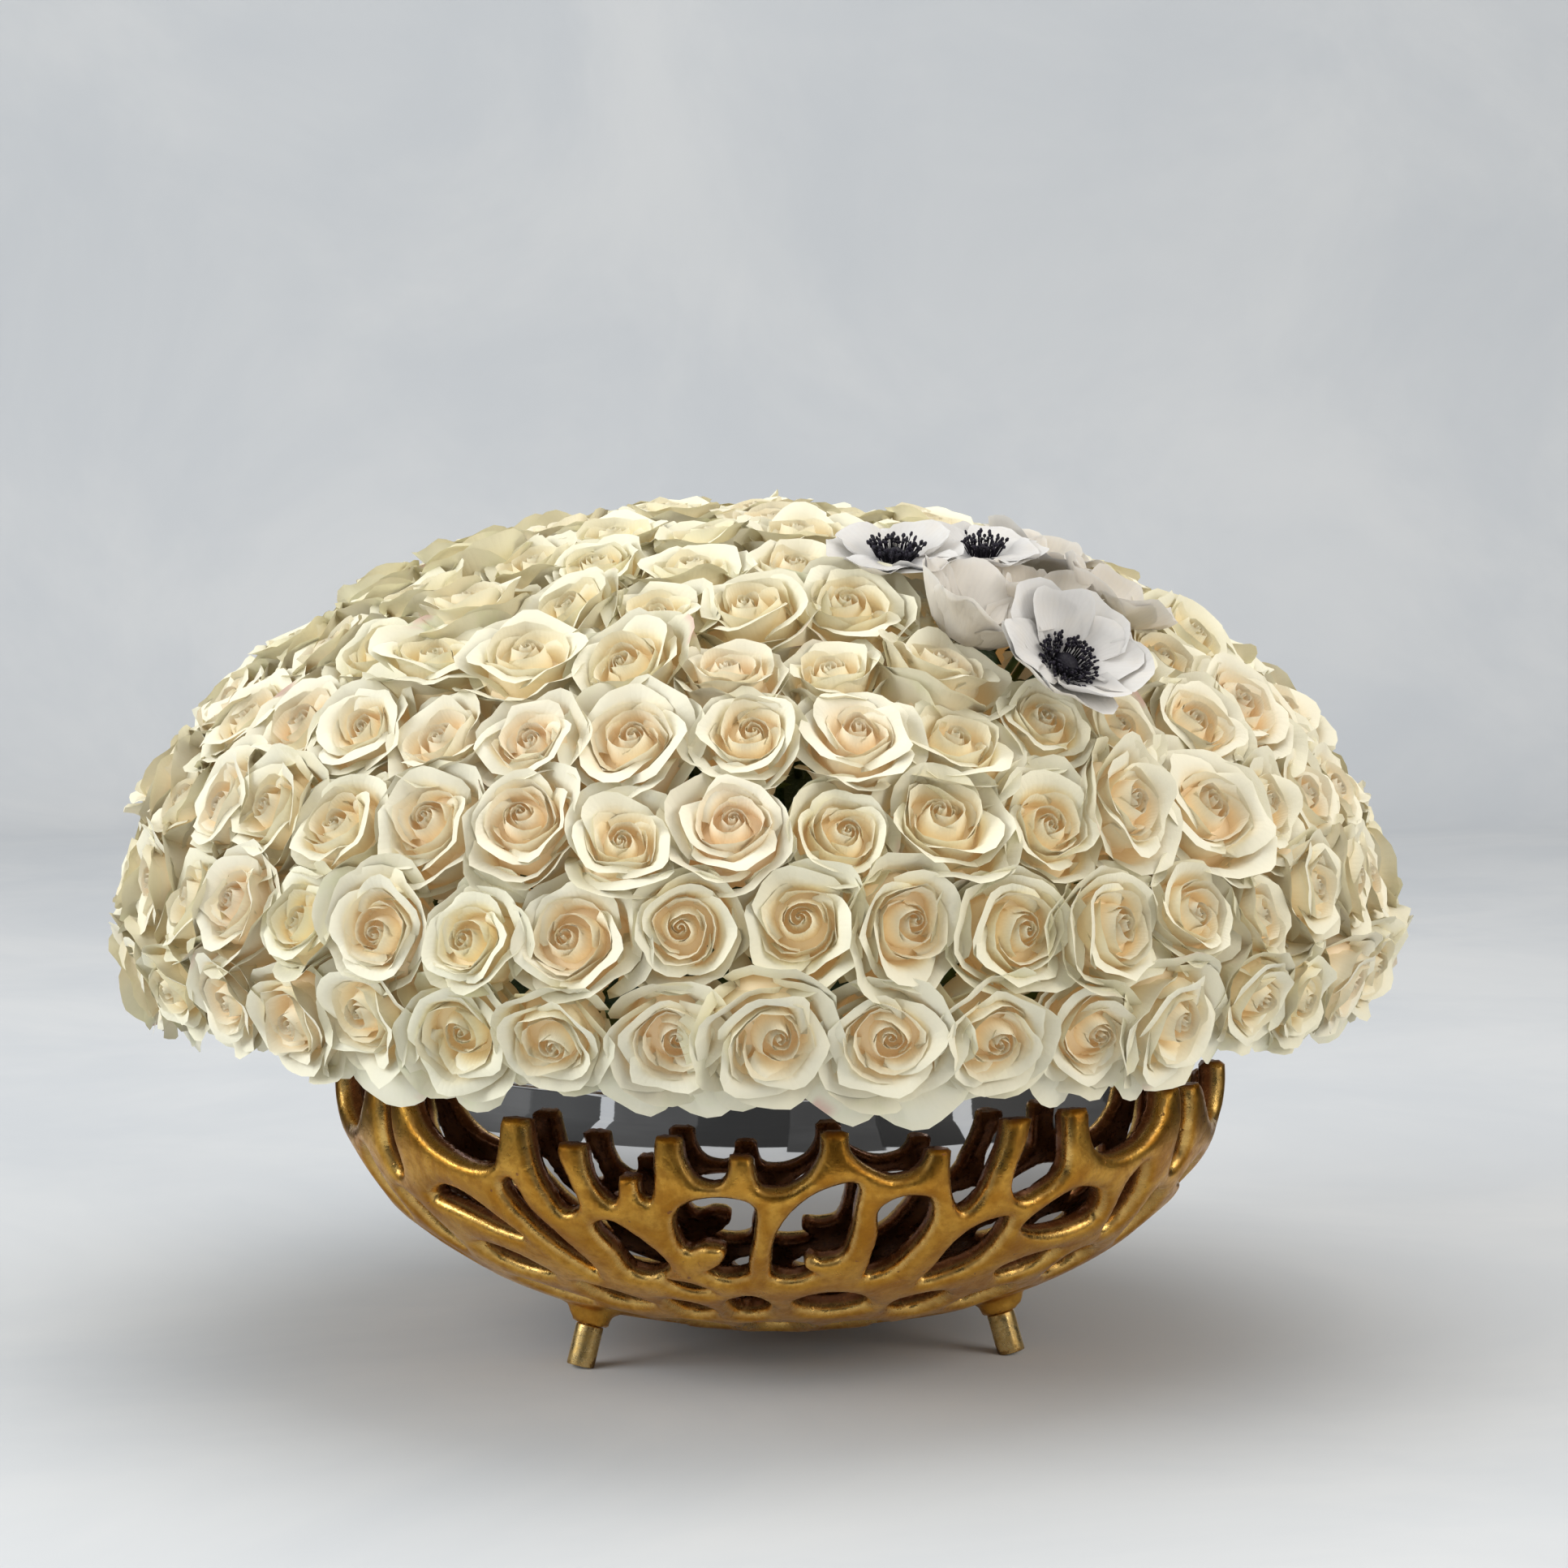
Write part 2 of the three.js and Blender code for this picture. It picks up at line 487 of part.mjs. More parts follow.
// Runs of rose slots left in a row once the anemones have theirs, split into arcs.
function rowArcs(row) {
  const { count } = ROWS[row];
  const taken = ANEMONES.filter((a) => a.row === row).map((a) => a.slot);
  const first = taken.length ? Math.max(...taken) + 1 : 0;
  const roses = count - taken.length;
  const arcs = Math.ceil(roses / ROSE.headsInArc);
  return Array.from({ length: arcs }, (_, i) => {
    const from = Math.round((roses * i) / arcs);
    const to = Math.round((roses * (i + 1)) / arcs);
    return { firstSlot: first + from, heads: to - from };
  });
}

// An anemone: a shallow cup on a tapering stem.
function anemoneGeometry({ row, slot, radius, lift }) {
  const azimuth = slotAzimuth(row, slot);
  const cup = [
    [0, stemEnd(row, azimuth).z], [12, lift - 20], [radius * 0.8, lift - 6], [radius, lift + 6],
    [radius - 4, lift + 5], [radius * 0.6, lift - 4], [0, lift - 6],
  ];
  return withStem(turned(cup, 10), row, azimuth).applyMatrix4(headFrame(row, azimuth));
}

// ---------------------------------------------------------------- materials
const GOLD = () => finish(0xb07a2a, 0.38, 1.0);
const LEG_BRASS = () => finish(0xc9a04e, 0.3, 1.0);
const STEEL = () => finish(0xd9dadb, 0.05, 1.0);
const WET_FOAM = () => finish(0x3f5a34, 0.9, 0);
const ROSE_PETAL = () => finish(0xf3e7cf, 0.6, 0);
const ANEMONE_PETAL = () => finish(0xf1f0ee, 0.55, 0);

// ---------------------------------------------------------------- assembly
const centerpiece = new THREE.Group();

function put(name, geometry, material) {
  const mesh = new THREE.Mesh(geometry, material);
  mesh.name = name;
  centerpiece.add(mesh);
}

function putInBowl(name, geometry, material) {
  put(name, geometry.translate(BOWL_ASIDE, 0, 0), material);
}

putInBowl('basket', basketGeometry(), GOLD());
LEG_AZIMUTHS.forEach((azimuth, i) => putInBowl(LEG_NAMES[i], legGeometry(azimuth), LEG_BRASS()));
putInBowl('liner', toGeometry(toSolid(linerGeometry())), STEEL());
putInBowl('floral_foam', toGeometry(toSolid(foamGeometry())), WET_FOAM());
put('roses_crown', roseCrown(), ROSE_PETAL());
for (let row = 2; row <= ROSE.rows; row += 1) {
  rowArcs(row).forEach(({ firstSlot, heads }, i) => {
    put(`roses_row_${row}_arc_${i + 1}`, roseArc(row, firstSlot, heads), ROSE_PETAL());
  });
}
ANEMONES.forEach((flower, i) => {
  put(`anemone_${i + 1}`, toGeometry(toSolid(anemoneGeometry(flower))), ANEMONE_PETAL());
});

export default centerpiece;
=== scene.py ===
# %% [markdown]
# # A floral table centerpiece
# Cream roses are packed into a dome over a polished steel bowl. The bowl sits in an openwork basket,
# cast in metal and covered with gold leaf, on three screwed-in legs. A few anemones stand among the
# roses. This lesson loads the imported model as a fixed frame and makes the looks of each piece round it.

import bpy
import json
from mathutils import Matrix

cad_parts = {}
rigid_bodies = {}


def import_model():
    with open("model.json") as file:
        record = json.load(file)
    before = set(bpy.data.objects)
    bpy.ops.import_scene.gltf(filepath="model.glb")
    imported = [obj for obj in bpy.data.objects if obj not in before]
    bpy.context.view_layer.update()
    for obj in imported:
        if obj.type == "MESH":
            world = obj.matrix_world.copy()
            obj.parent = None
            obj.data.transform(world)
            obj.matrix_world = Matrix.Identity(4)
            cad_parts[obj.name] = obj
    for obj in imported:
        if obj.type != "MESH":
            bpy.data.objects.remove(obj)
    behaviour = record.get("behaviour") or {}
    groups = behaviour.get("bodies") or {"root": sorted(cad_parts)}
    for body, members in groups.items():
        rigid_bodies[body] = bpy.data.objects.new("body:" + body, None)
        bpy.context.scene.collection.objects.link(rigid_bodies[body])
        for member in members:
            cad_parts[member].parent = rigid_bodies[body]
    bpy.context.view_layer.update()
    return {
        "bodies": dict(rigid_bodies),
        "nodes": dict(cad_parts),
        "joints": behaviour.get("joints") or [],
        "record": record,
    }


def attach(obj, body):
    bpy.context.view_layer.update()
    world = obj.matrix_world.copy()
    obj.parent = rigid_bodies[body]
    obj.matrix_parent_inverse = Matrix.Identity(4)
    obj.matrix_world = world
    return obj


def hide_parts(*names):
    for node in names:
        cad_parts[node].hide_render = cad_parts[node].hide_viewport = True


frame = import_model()

# %% Other tools
import json
import math

import bpy
import numpy as np
from mathutils import Matrix, Vector
from mathutils.kdtree import KDTree

MM = 0.001
TURN = 2 * math.pi

# %% [markdown]
# ## The camera
# A long lens stands a little above the flowers and looks slightly down, so the dome shows its front and
# some of its top, and the bowl is seen almost from the side. A long lens keeps the rows of heads even.

# %% Camera
CAMERA_PLACE = (0.0162, -2.273, 0.514)
CAMERA_DIP = 5.34          # degrees below level
CAMERA_LENS = 96.9         # mm on a 36 mm sensor

camera_data = bpy.data.cameras.new("camera")
camera_data.lens = CAMERA_LENS
camera_data.sensor_width = 36
camera_data.clip_end = 60
camera = bpy.data.objects.new("camera", camera_data)
camera.location = CAMERA_PLACE
camera.rotation_euler = (math.radians(90 - CAMERA_DIP), 0, 0)
bpy.context.scene.collection.objects.link(camera)
bpy.context.scene.camera = camera
print("camera lens:", camera_data.lens)

# %% [markdown]
# ## One bench for every finish
# A finish is a node tree. Wiring one by hand in Python hides the idea behind dozens of link lines, so a
# small class wraps a socket and lets sums be written as sums. Colours are blended by Mix nodes, since a
# Math node would turn them grey. Every other node comes from one method.

# %% Sockets that add up
class Amount:
    """A number that changes over a surface: an output socket on its bench."""

    def __init__(self, bench, socket):
        self.bench, self.socket = bench, socket

    def __add__(self, other):
        return self.bench.maths("ADD", self, other)

    def __sub__(self, other):
        return self.bench.maths("SUBTRACT", self, other)

    def __rsub__(self, other):
        return self.bench.maths("SUBTRACT", other, self)

    def __mul__(self, other):
        return self.bench.maths("MULTIPLY", self, other)

    __radd__ = __add__
    __rmul__ = __mul__


class Bench:
    """The node tree of one finish or of one geometry tree."""

    def __init__(self, tree):
        self.tree = tree

    def node(self, kind, settings=None, values=None, out=0):
        made = self.tree.nodes.new(kind)
        for key, value in (settings or {}).items():
            if key == "stops":
                self.stops(made.color_ramp, value)
            else:
                setattr(made, key, value)
        for key, value in (values or {}).items():
            self.plug(made.inputs[key], value)
        return Amount(self, made.outputs[out]) if out is not None else made

    def stops(self, ramp, stops):
        while len(ramp.elements) < len(stops):
            ramp.elements.new(1.0)
        for element, (place, colour) in zip(ramp.elements, stops):
            element.position = place
            element.color = (*colour, 1.0)

    def plug(self, socket, value):
        if isinstance(value, Amount):
            self.tree.links.new(value.socket, socket)
        elif isinstance(value, tuple) and len(value) == 3 and socket.type == "RGBA":
            socket.default_value = (*value, 1.0)
        else:
            socket.default_value = value

    def maths(self, operation, *values):
        return self.node("ShaderNodeMath", {"operation": operation}, dict(enumerate(values)))

    def between(self, value, low, high, start=0.0, end=1.0):
        """Value taken from the range low..high to start..end, smoothly, and held there."""
        settings = {"interpolation_type": "SMOOTHSTEP"}
        return self.node("ShaderNodeMapRange", settings,
                         {"Value": value, "From Min": low, "From Max": high, "To Min": start, "To Max": end})

    def mix(self, share, under, over, blend="MIX"):
        settings = {"data_type": "RGBA", "blend_type": blend, "clamp_factor": True}
        return self.node("ShaderNodeMix", settings, {0: share, 6: under, 7: over}, out=2)

    def attribute(self, name):
        return self.node("ShaderNodeAttribute", {"attribute_name": name}, out=2)

    def place(self):
        return self.node("ShaderNodeTexCoord", out=3)

    def stretched(self, level, upright):
        """Object coordinates scaled by one number in the level and another upright, for turned lines."""
        values = {"Vector": self.place(), "Scale": (level, level, upright)}
        return self.node("ShaderNodeMapping", values=values)

    def noise(self, scale, detail=2.0, rough=0.5, where=None, warp=0.0):
        values = {"Vector": where or self.place(), "Scale": scale, "Detail": detail,
                  "Roughness": rough, "Distortion": warp}
        return self.node("ShaderNodeTexNoise", {"noise_dimensions": "3D"}, values)


class Coat:
    """A shader whose inputs are set by name."""

    def __init__(self, bench, node):
        self.bench, self.node = bench, node

    def __setitem__(self, name, value):
        self.bench.plug(self.node.inputs[name], value)


def finish(name, roughness=0.5, metallic=0.0, constants=None):
    """A new finish: its material, its bench, and its Principled shader, whose numbers are constants."""
    material = bpy.data.materials.new(name)
    material.use_nodes = True
    tree = material.node_tree
    tree.nodes.clear()
    bench = Bench(tree)
    shader = bench.node("ShaderNodeBsdfPrincipled",
                        values={"Roughness": roughness, "Metallic": metallic, **(constants or {})}, out=None)
    bench.node("ShaderNodeOutputMaterial", values={"Surface": Amount(bench, shader.outputs[0])}, out=None)
    return material, bench, Coat(bench, shader)


def bumped(bench, shader, height, distance, strength):
    """The shader's surface follows a height, given as a share of a distance in metres."""
    values = {"Height": height, "Distance": distance, "Strength": strength}
    shader["Normal"] = bench.node("ShaderNodeBump", values=values)

# %% [markdown]
# ## The room
# The part stands on a plain pale floor that sweeps up behind it. Polished metal shows only what is round
# it, so three large soft lamps matter as much as the finishes: a cool window at the front left, a warm
# one at the right, and a wide one overhead.

# %% Floor and backdrop
FLOOR_FRONT, FLOOR_BACK, SWEEP_RADIUS, WALL_TOP, FLOOR_HALF = -6.0, 2.6, 0.7, 5.0, 7.0


def sheet_object(name, points, faces, smooth=True):
    """A mesh from points in metres, with its object at the origin."""
    mesh = bpy.data.meshes.new(name)
    mesh.from_pydata([tuple(p) for p in points], [], [tuple(int(k) for k in f) for f in faces])
    mesh.update()
    if smooth:
        mesh.shade_smooth()
    made = bpy.data.objects.new(name, mesh)
    bpy.context.scene.collection.objects.link(made)
    return made


def swept_floor():
    turns = [math.radians(a) for a in range(0, 91, 6)]
    line = [(FLOOR_FRONT, 0.0)]
    line += [(FLOOR_BACK + SWEEP_RADIUS * math.sin(t), SWEEP_RADIUS * (1 - math.cos(t))) for t in turns]
    line += [(FLOOR_BACK + SWEEP_RADIUS, WALL_TOP)]
    points = [(x, y, z) for y, z in line for x in (-FLOOR_HALF, FLOOR_HALF)]
    faces = [(2 * i, 2 * i + 1, 2 * i + 3, 2 * i + 2) for i in range(len(line) - 1)]
    return sheet_object("floor", points, faces)


floor = swept_floor()
floor_paint, bench, shader = finish("pale_floor", roughness=0.8, constants={"Specular IOR Level": 0.0})
cloud = bench.noise(2.2, 5.0, 0.6, warp=0.6)
shader["Base Color"] = bench.mix(bench.between(cloud, 0.3, 0.75), (0.575, 0.595, 0.615), (0.65, 0.66, 0.665))
floor.data.materials.append(floor_paint)
print("floor:", len(floor.data.polygons), "faces")

# %% Lamps and the light of the room
def lamp(name, place, aim, size, power, colour):
    data = bpy.data.lights.new(name, "AREA")
    data.shape, data.size, data.size_y = "RECTANGLE", *size
    data.energy, data.color = power, colour
    made = bpy.data.objects.new(name, data)
    made.location = place
    made.rotation_euler = (Vector(aim) - Vector(place)).to_track_quat("-Z", "Y").to_euler()
    bpy.context.scene.collection.objects.link(made)
    return made


AIM = (0, 0, 0.22)
lamp("window_left", (-3.1, -1.2, 1.7), AIM, (2.6, 2.3), 92, (0.95, 0.98, 1.0))
lamp("window_right", (2.7, -1.6, 1.5), AIM, (1.9, 2.0), 46, (1.0, 0.95, 0.88))
lamp("ceiling", (0.2, 0.2, 3.0), AIM, (3.4, 3.0), 54, (1.0, 0.98, 0.95))

world = bpy.data.worlds.new("room")
world.use_nodes = True
background = world.node_tree.nodes["Background"]
background.inputs["Color"].default_value = (0.95, 0.97, 1.0, 1.0)
background.inputs["Strength"].default_value = 0.47
bpy.context.scene.world = world
bpy.context.scene.view_settings.view_transform = "Standard"

# %% Dark flags, seen only in the polish
# Polished metal under plain lamps looks like grey paint. A studio stands dark boards round it, out of the
# view, so that the metal has something to show. Each board has a foot that lies on the floor, since a bowl
# shows more floor than wall. They are seen by glossy rays alone.
# Each flag: azimuth and width in degrees, height in metres, tone.
FLAGS = [(-127, 30, 0.9, 0.05), (-100, 27, 0.7, 0.02), (-76, 23, 0.5, 0.16), (-55, 21, 0.8, 0.04),
         (-30, 22, 0.45, 0.12), (-8, 23, 0.7, 0.03), (14, 22, 0.5, 0.09), (34, 20, 0.6, 0.02),
         (60, 22, 0.8, 0.03), (81, 22, 0.5, 0.12), (103, 23, 0.8, 0.03), (127, 26, 0.7, 0.06)]
FLAG_DISTANCE, FLAG_LIFT = 1.5, 0.003           # metres from the middle, and clear of the floor
FLAG_FEET = [0.33, 0.35, 0.32, 0.34, 0.33]      # where a foot ends, as a share of that distance
NAP_TONES = 0.3, 0.8                            # a board's darkest and lightest spots, as shares of its tone
for number, (azimuth, width, height, tone) in enumerate(FLAGS, start=1):
    turn = math.radians(azimuth)
    along, away = Vector((math.cos(turn), math.sin(turn), 0)), Vector((math.sin(turn), -math.cos(turn), 0))
    half, near = math.radians(width) / 2, FLAG_DISTANCE * FLAG_FEET[number % len(FLAG_FEET)]
    corners = [away * far + along * (x * far * half) + Vector((0, 0, z)) for x, far, z in (
        (-1, FLAG_DISTANCE, height), (1, FLAG_DISTANCE, height), (1, FLAG_DISTANCE, FLAG_LIFT),
        (-1, FLAG_DISTANCE, FLAG_LIFT), (1, near, FLAG_LIFT), (-1, near, FLAG_LIFT))]
    flag = sheet_object(f"dark_flag_{number}", corners, [(0, 1, 2, 3), (3, 2, 4, 5)], smooth=False)
    flag_board, bench, shader = finish(f"flag_board_{number}", roughness=0.9)
    nap = bench.noise(3.0, 3.0, 0.6)
    shader["Base Color"] = bench.mix(nap, *((tone * share,) * 3 for share in NAP_TONES))
    flag.data.materials.append(flag_board)
    for ray in ("camera", "diffuse", "transmission", "volume_scatter", "shadow"):
        setattr(flag, "visible_" + ray, False)

# %% [markdown]
# ## The openwork basket: its pattern
# The basket is half of a flattened ball, cast as a net of branches with smooth webbed forks. One third of
# the net is drawn on the ball in degrees, azimuth round the axis and rise from the lowest point, and
# repeats three times, once for each leg. The outlines are smooth curves through a few points each.

# %% Sizes of the basket and its pattern (mm and degrees)
BASKET = {"radius": 240.0, "depth": 133.0, "centre": 145.0, "wall": 13.0}
THIRD = 120.0
BOWL_AT = np.array([14.0, 0.0, 0.0])   # the bowl stands a little to the right of the dome's axis
OPEN_ABOVE = 106.0         # rise up to which the gaps between tips are open
TIPS = [(-55, 2.0, 94), (-34, 1.9, 93.5), (-26, 1.9, 89), (-18.6, 1.3, 82.5), (-13.4, 1.7, 92),
        (-4.6, 1.5, 88.2), (6.6, 1.7, 93.5), (19.5, 1.5, 88.7), (30.2, 1.9, 94), (39, 1.9, 94.6),
        (58, 2.1, 95)]     # azimuth, half width, rise of the flat top
HOLLOWS = [
    [(-50.5, 88), (-47, 84), (-42, 81.5), (-38, 82), (-36.4, 87)],
    [(-31.5, 86), (-30.5, 79), (-28.5, 72.5), (-26, 74), (-26.6, 81), (-27.6, 86)],
    [(-23.7, 83), (-22.6, 78), (-21, 76), (-20.2, 78)],
    [(-17.2, 78.5), (-16.3, 77), (-15.5, 80), (-15.2, 87)],
    [(-11.4, 87), (-9.8, 82.5), (-7.6, 81.6), (-6.3, 84.5)],
    [(-2.9, 85), (-2, 81), (0.4, 80.8), (3, 83.2), (4.7, 88)],
    [(8.6, 89), (10.6, 85.5), (13.8, 83), (16.6, 84), (17.8, 86.6)],
    [(21, 84), (22, 77), (23.6, 73.6), (25.2, 76), (26.6, 83), (27.8, 89)],
    [(31, 88), (30, 83), (30, 78), (31.8, 75), (34.6, 76.6), (37.2, 80.6), (37.2, 88)],
    [(41, 89), (42.6, 84.6), (46, 82.4), (51, 84), (54.4, 89)],
    [(60.2, 87), (60, 80), (61.6, 75), (63.6, 77), (63.4, 86)],
]
WINDOWS = [
    [(-52, 71), (-48, 75), (-44, 74), (-40, 69.5), (-37, 64), (-41, 65), (-47, 68.5)],
    [(-37, 78), (-35.2, 79.6), (-33.4, 73), (-30.6, 66.5), (-28, 58), (-28.6, 54.6), (-31, 59), (-35, 69)],
    [(-24.5, 70), (-22, 71.4), (-19, 68), (-16, 61.5), (-16, 58), (-19, 55), (-22, 55.4), (-23, 62)],
    [(-17.4, 54.6), (-13, 53.6), (-10.6, 50.6), (-15, 50.6)],
    [(-13.4, 72), (-11.6, 76.6), (-7.6, 78.4), (-3.6, 77), (-3.2, 70), (-4.2, 62), (-5, 56.6),
     (-8.2, 55.4), (-10.2, 57.6), (-8, 60.6), (-7.4, 64.6), (-9.8, 65.6), (-12.4, 64)],
    [(9.2, 81.8), (9.4, 75), (9.2, 68), (8.2, 62.4), (5.6, 61.4), (4, 62.6), (3.4, 60), (4.8, 57.4),
     (2.6, 55.4), (-0.6, 56), (-1, 62), (-0.4, 69), (2, 76), (5.4, 80.4)],
    [(12.6, 75.6), (15.4, 78.2), (18.6, 77.4), (19.6, 72.4), (18.4, 64.6), (15.6, 57.4), (12.8, 56),
     (12.6, 61), (12.8, 69)],
    [(30.6, 71), (26.4, 69.8), (24, 66), (22.6, 59), (21.8, 53), (25.6, 54.6), (29.6, 58.6), (31, 65)],
    [(33.6, 67.6), (36, 72.6), (40.6, 76), (45.4, 74), (47.2, 67), (43, 64.4), (37, 64.8)],
    [(50.4, 76), (53, 79), (54.6, 74), (54.8, 64), (52.6, 61.4), (50.6, 68)],
    [(34.6, 55.4), (39, 58.4), (44.6, 58.4), (43.6, 53.4), (37.4, 51)],
    [(48.6, 56), (54, 56.6), (59.6, 51), (56, 46.4), (49.6, 48.6)],
    [(59.4, 70.6), (63, 68.6), (65.6, 60.6), (64, 55.6), (60.6, 59.6)],
    [(-50, 58.6), (-45.6, 60), (-40, 57.4), (-37.4, 52.6), (-43, 51.4), (-49, 54.6)],
    [(-51, 46.6), (-45, 46.4), (-37.6, 42), (-41, 38.8), (-49.6, 41.4)],
    [(-33.6, 50.6), (-27.4, 48.4), (-23, 43.4), (-28.6, 41), (-33.6, 43.6)],
    [(-19.4, 46.6), (-13.8, 45), (-12.4, 39.8), (-18, 38)],
    [(-8.6, 46.6), (-4.6, 49.6), (-1.8, 45.6), (-3, 40.2), (-7.6, 39)],
    [(2.6, 47.4), (7.4, 51), (12.6, 49.4), (15.6, 43.6), (9.6, 40.6), (3.6, 42.4)],
    [(20.6, 46.6), (27, 48.6), (30.8, 43.6), (28.6, 38.2), (21.6, 39.6)],
    [(35.6, 45.4), (42.6, 46.6), (46.4, 41.6), (43, 36.6), (36.2, 38)],
    [(50.6, 42), (56, 40.6), (57, 33), (53.6, 26.6), (49.4, 32)],
    [(-43.6, 34.4), (-34, 35.6), (-30.6, 27), (-36, 21.4), (-43.6, 24)],
    [(-26, 33.6), (-14.6, 33.6), (-11.6, 26.6), (-19, 21), (-26.6, 24.6)],
    [(-7.4, 33.6), (2.6, 35.4), (8.4, 29.6), (3, 22), (-6.6, 22.6)],
    [(13, 34.4), (22.6, 33.4), (27.6, 27.4), (21, 20.6), (11.6, 24)],
    [(31.6, 32.4), (42, 32.4), (45, 24.6), (38.6, 19.6), (31, 23.4)],
    [(-54, 18), (-36, 16.6), (-30, 10.6), (-46, 8.6), (-58, 12.4)],
    [(-18, 15.6), (4, 17), (10, 11.4), (-4, 8.6), (-20, 10.4)],
    [(22, 14.6), (44, 15), (51, 10.4), (36, 8.4), (20, 10.4)],
]
print("pattern of one third:", len(TIPS), "tips,", len(WINDOWS), "windows")

# %% Smooth outlines through the listed points
def outward(azimuth):
    """Level direction for azimuths in degrees: 0 is the front (-Y), growing towards +X."""
    turn = np.radians(azimuth)
    return np.stack([np.sin(turn), -np.cos(turn), np.zeros_like(turn)], -1)


def on_basket(azimuth, rise, inset=0.0):
    azimuth, rise = np.asarray(azimuth, float), np.radians(rise)
    place = outward(azimuth) * ((BASKET["radius"] - inset) * np.sin(rise))[..., None]
    place[..., 2] = BASKET["centre"] - (BASKET["depth"] - inset) * np.cos(rise)
    return place


def smooth_curve(points, closed, steps=24):
    """A centripetal Catmull-Rom curve: round, and never looping between uneven points."""
    p = np.array(points, float)
    if closed:
        p = np.vstack([p[-1:], p, p[:2]])
    else:
        p = np.vstack([2 * p[:1] - p[1:2], p, 2 * p[-1:] - p[-2:-1]])
    t = np.linspace(0, 1, steps, endpoint=False)[:, None]
    pieces = []
    for a, b, c, d in zip(p, p[1:], p[2:], p[3:]):
        before, here, after = (max(np.linalg.norm(q - r) ** 0.5, 1e-4) for q, r in ((a, b), (b, c), (c, d)))
        leave = ((b - a) / before - (c - a) / (before + here) + (c - b) / here) * here
        arrive = ((c - b) / here - (d - b) / (here + after) + (d - c) / after) * here
        pieces.append(b + leave * t + (3 * (c - b) - 2 * leave - arrive) * t ** 2
                      + (2 * (b - c) + leave + arrive) * t ** 3)
    return np.vstack(pieces + ([] if closed else [p[-2:-1]]))


def gap_outlines():
    """Closed outlines, in degrees, of the gaps between neighbouring tips, open far above them."""
    loops = []
    for i, (azimuth, half, rise) in enumerate(TIPS):
        next_azimuth, next_half, next_rise = TIPS[(i + 1) % len(TIPS)]
        if i == len(TIPS) - 1:
            next_azimuth += THIRD
        left, right = (azimuth + half, rise), (next_azimuth - next_half, next_rise)
        curve = smooth_curve([left, *HOLLOWS[i], right], closed=False)
        sides = [[(x, y + s * (OPEN_ABOVE - y)) for s in np.linspace(0, 1, 40)[1:]] for x, y in (right, left)]
        loops.append(np.vstack([curve, sides[0], np.array(sides[1])[::-1]]))
    return loops


outlines = gap_outlines() + [smooth_curve(w, closed=True) for w in WINDOWS]
outlines = [loop + (turn, 0) for loop in outlines for turn in (-THIRD, 0, THIRD)]
print("outlines:", len(outlines), "with", sum(map(len, outlines)), "points")

# %% [markdown]
# ## How far every spot of the wall is from an edge
# A cast branch is round-edged all along, however it bends and forks. The easiest way to get that is to
# know, for any spot on the wall, its distance from the nearest outline. That distance is worked out once
# on a grid of degrees over one third, measured in space, and read off the grid from then on.

# %% Distance chart of one third
CHART_TURN, CHART_RISE = 0.25, 0.4       # degrees between chart spots


def inside_outline(loop, x, y):
    hit = np.zeros(x.shape, bool)
    near = (x > loop[:, 0].min()) & (x < loop[:, 0].max()) & (y > loop[:, 1].min()) & (y < loop[:, 1].max())
    px, py = x[near], y[near]
    odd = np.zeros(px.shape, bool)
    for (x0, y0), (x1, y1) in zip(loop, np.roll(loop, -1, axis=0)):
        if y0 != y1:
            odd ^= ((y0 > py) != (y1 > py)) & (px < (x1 - x0) * (py - y0) / (y1 - y0) + x0)
    hit[near] = odd
    return hit


def to_segments(p, a, b):
    along = b - a
    share = np.clip(((p - a) * along).sum(-1) / np.maximum((along ** 2).sum(-1), 1e-9), 0, 1)
    return np.linalg.norm(p - a - along * share[..., None], axis=-1)


def edge_chart():
    turns, rises = np.arange(0, THIRD, CHART_TURN), np.arange(0, OPEN_ABOVE, CHART_RISE)
    x, y = np.meshgrid(turns, rises, indexing="ij")
    open_here = np.zeros(x.shape, bool)
    before, at, after = [], [], []
    for loop in outlines:
        if loop[:, 0].max() < -12 or loop[:, 0].min() > THIRD + 12:
            continue
        open_here |= inside_outline(loop, x, y)
        line = on_basket(loop[:, 0], loop[:, 1])
        before.append(np.roll(line, 1, axis=0))
        at.append(line)
        after.append(np.roll(line, -1, axis=0))
    before, at, after = map(np.vstack, (before, at, after))
    tree = KDTree(len(at))
    for i, p in enumerate(at):
        tree.insert(p, i)
    tree.balance()
    spots = on_basket(x, y).reshape(-1, 3)
    nearest = np.array([tree.find(p)[1] for p in spots])
    distance = np.minimum(to_segments(spots, before[nearest], at[nearest]),
                          to_segments(spots, at[nearest], after[nearest])).reshape(x.shape)
    return np.where(open_here, -distance, distance)


chart = edge_chart()
print("edge chart:", chart.shape, "widest branch half-width %.1f mm" % chart.max())

# %% Reading the chart, and the rise of each tip
def to_edge(azimuth, rise):
    """Distance in mm from an outline, inside the metal positive; spots between chart spots are blended."""
    u = (azimuth % THIRD) / CHART_TURN
    v = np.clip(rise / CHART_RISE, 0, chart.shape[1] - 1.001)
    i, j = u.astype(int) % chart.shape[0], v.astype(int)
    k, s, t = (i + 1) % chart.shape[0], u - u.astype(int), v - j
    return ((1 - s) * ((1 - t) * chart[i, j] + t * chart[i, j + 1])
            + s * ((1 - t) * chart[k, j] + t * chart[k, j + 1]))


def tip_rise(azimuth):
    """Rise of the tip nearest in azimuth."""
    tops = np.array([(a % THIRD, rise) for a, _, rise in TIPS])
    apart = np.abs((azimuth[..., None] - tops[:, 0] + THIRD / 2) % THIRD - THIRD / 2)
    return tops[apart.argmin(-1), 1]

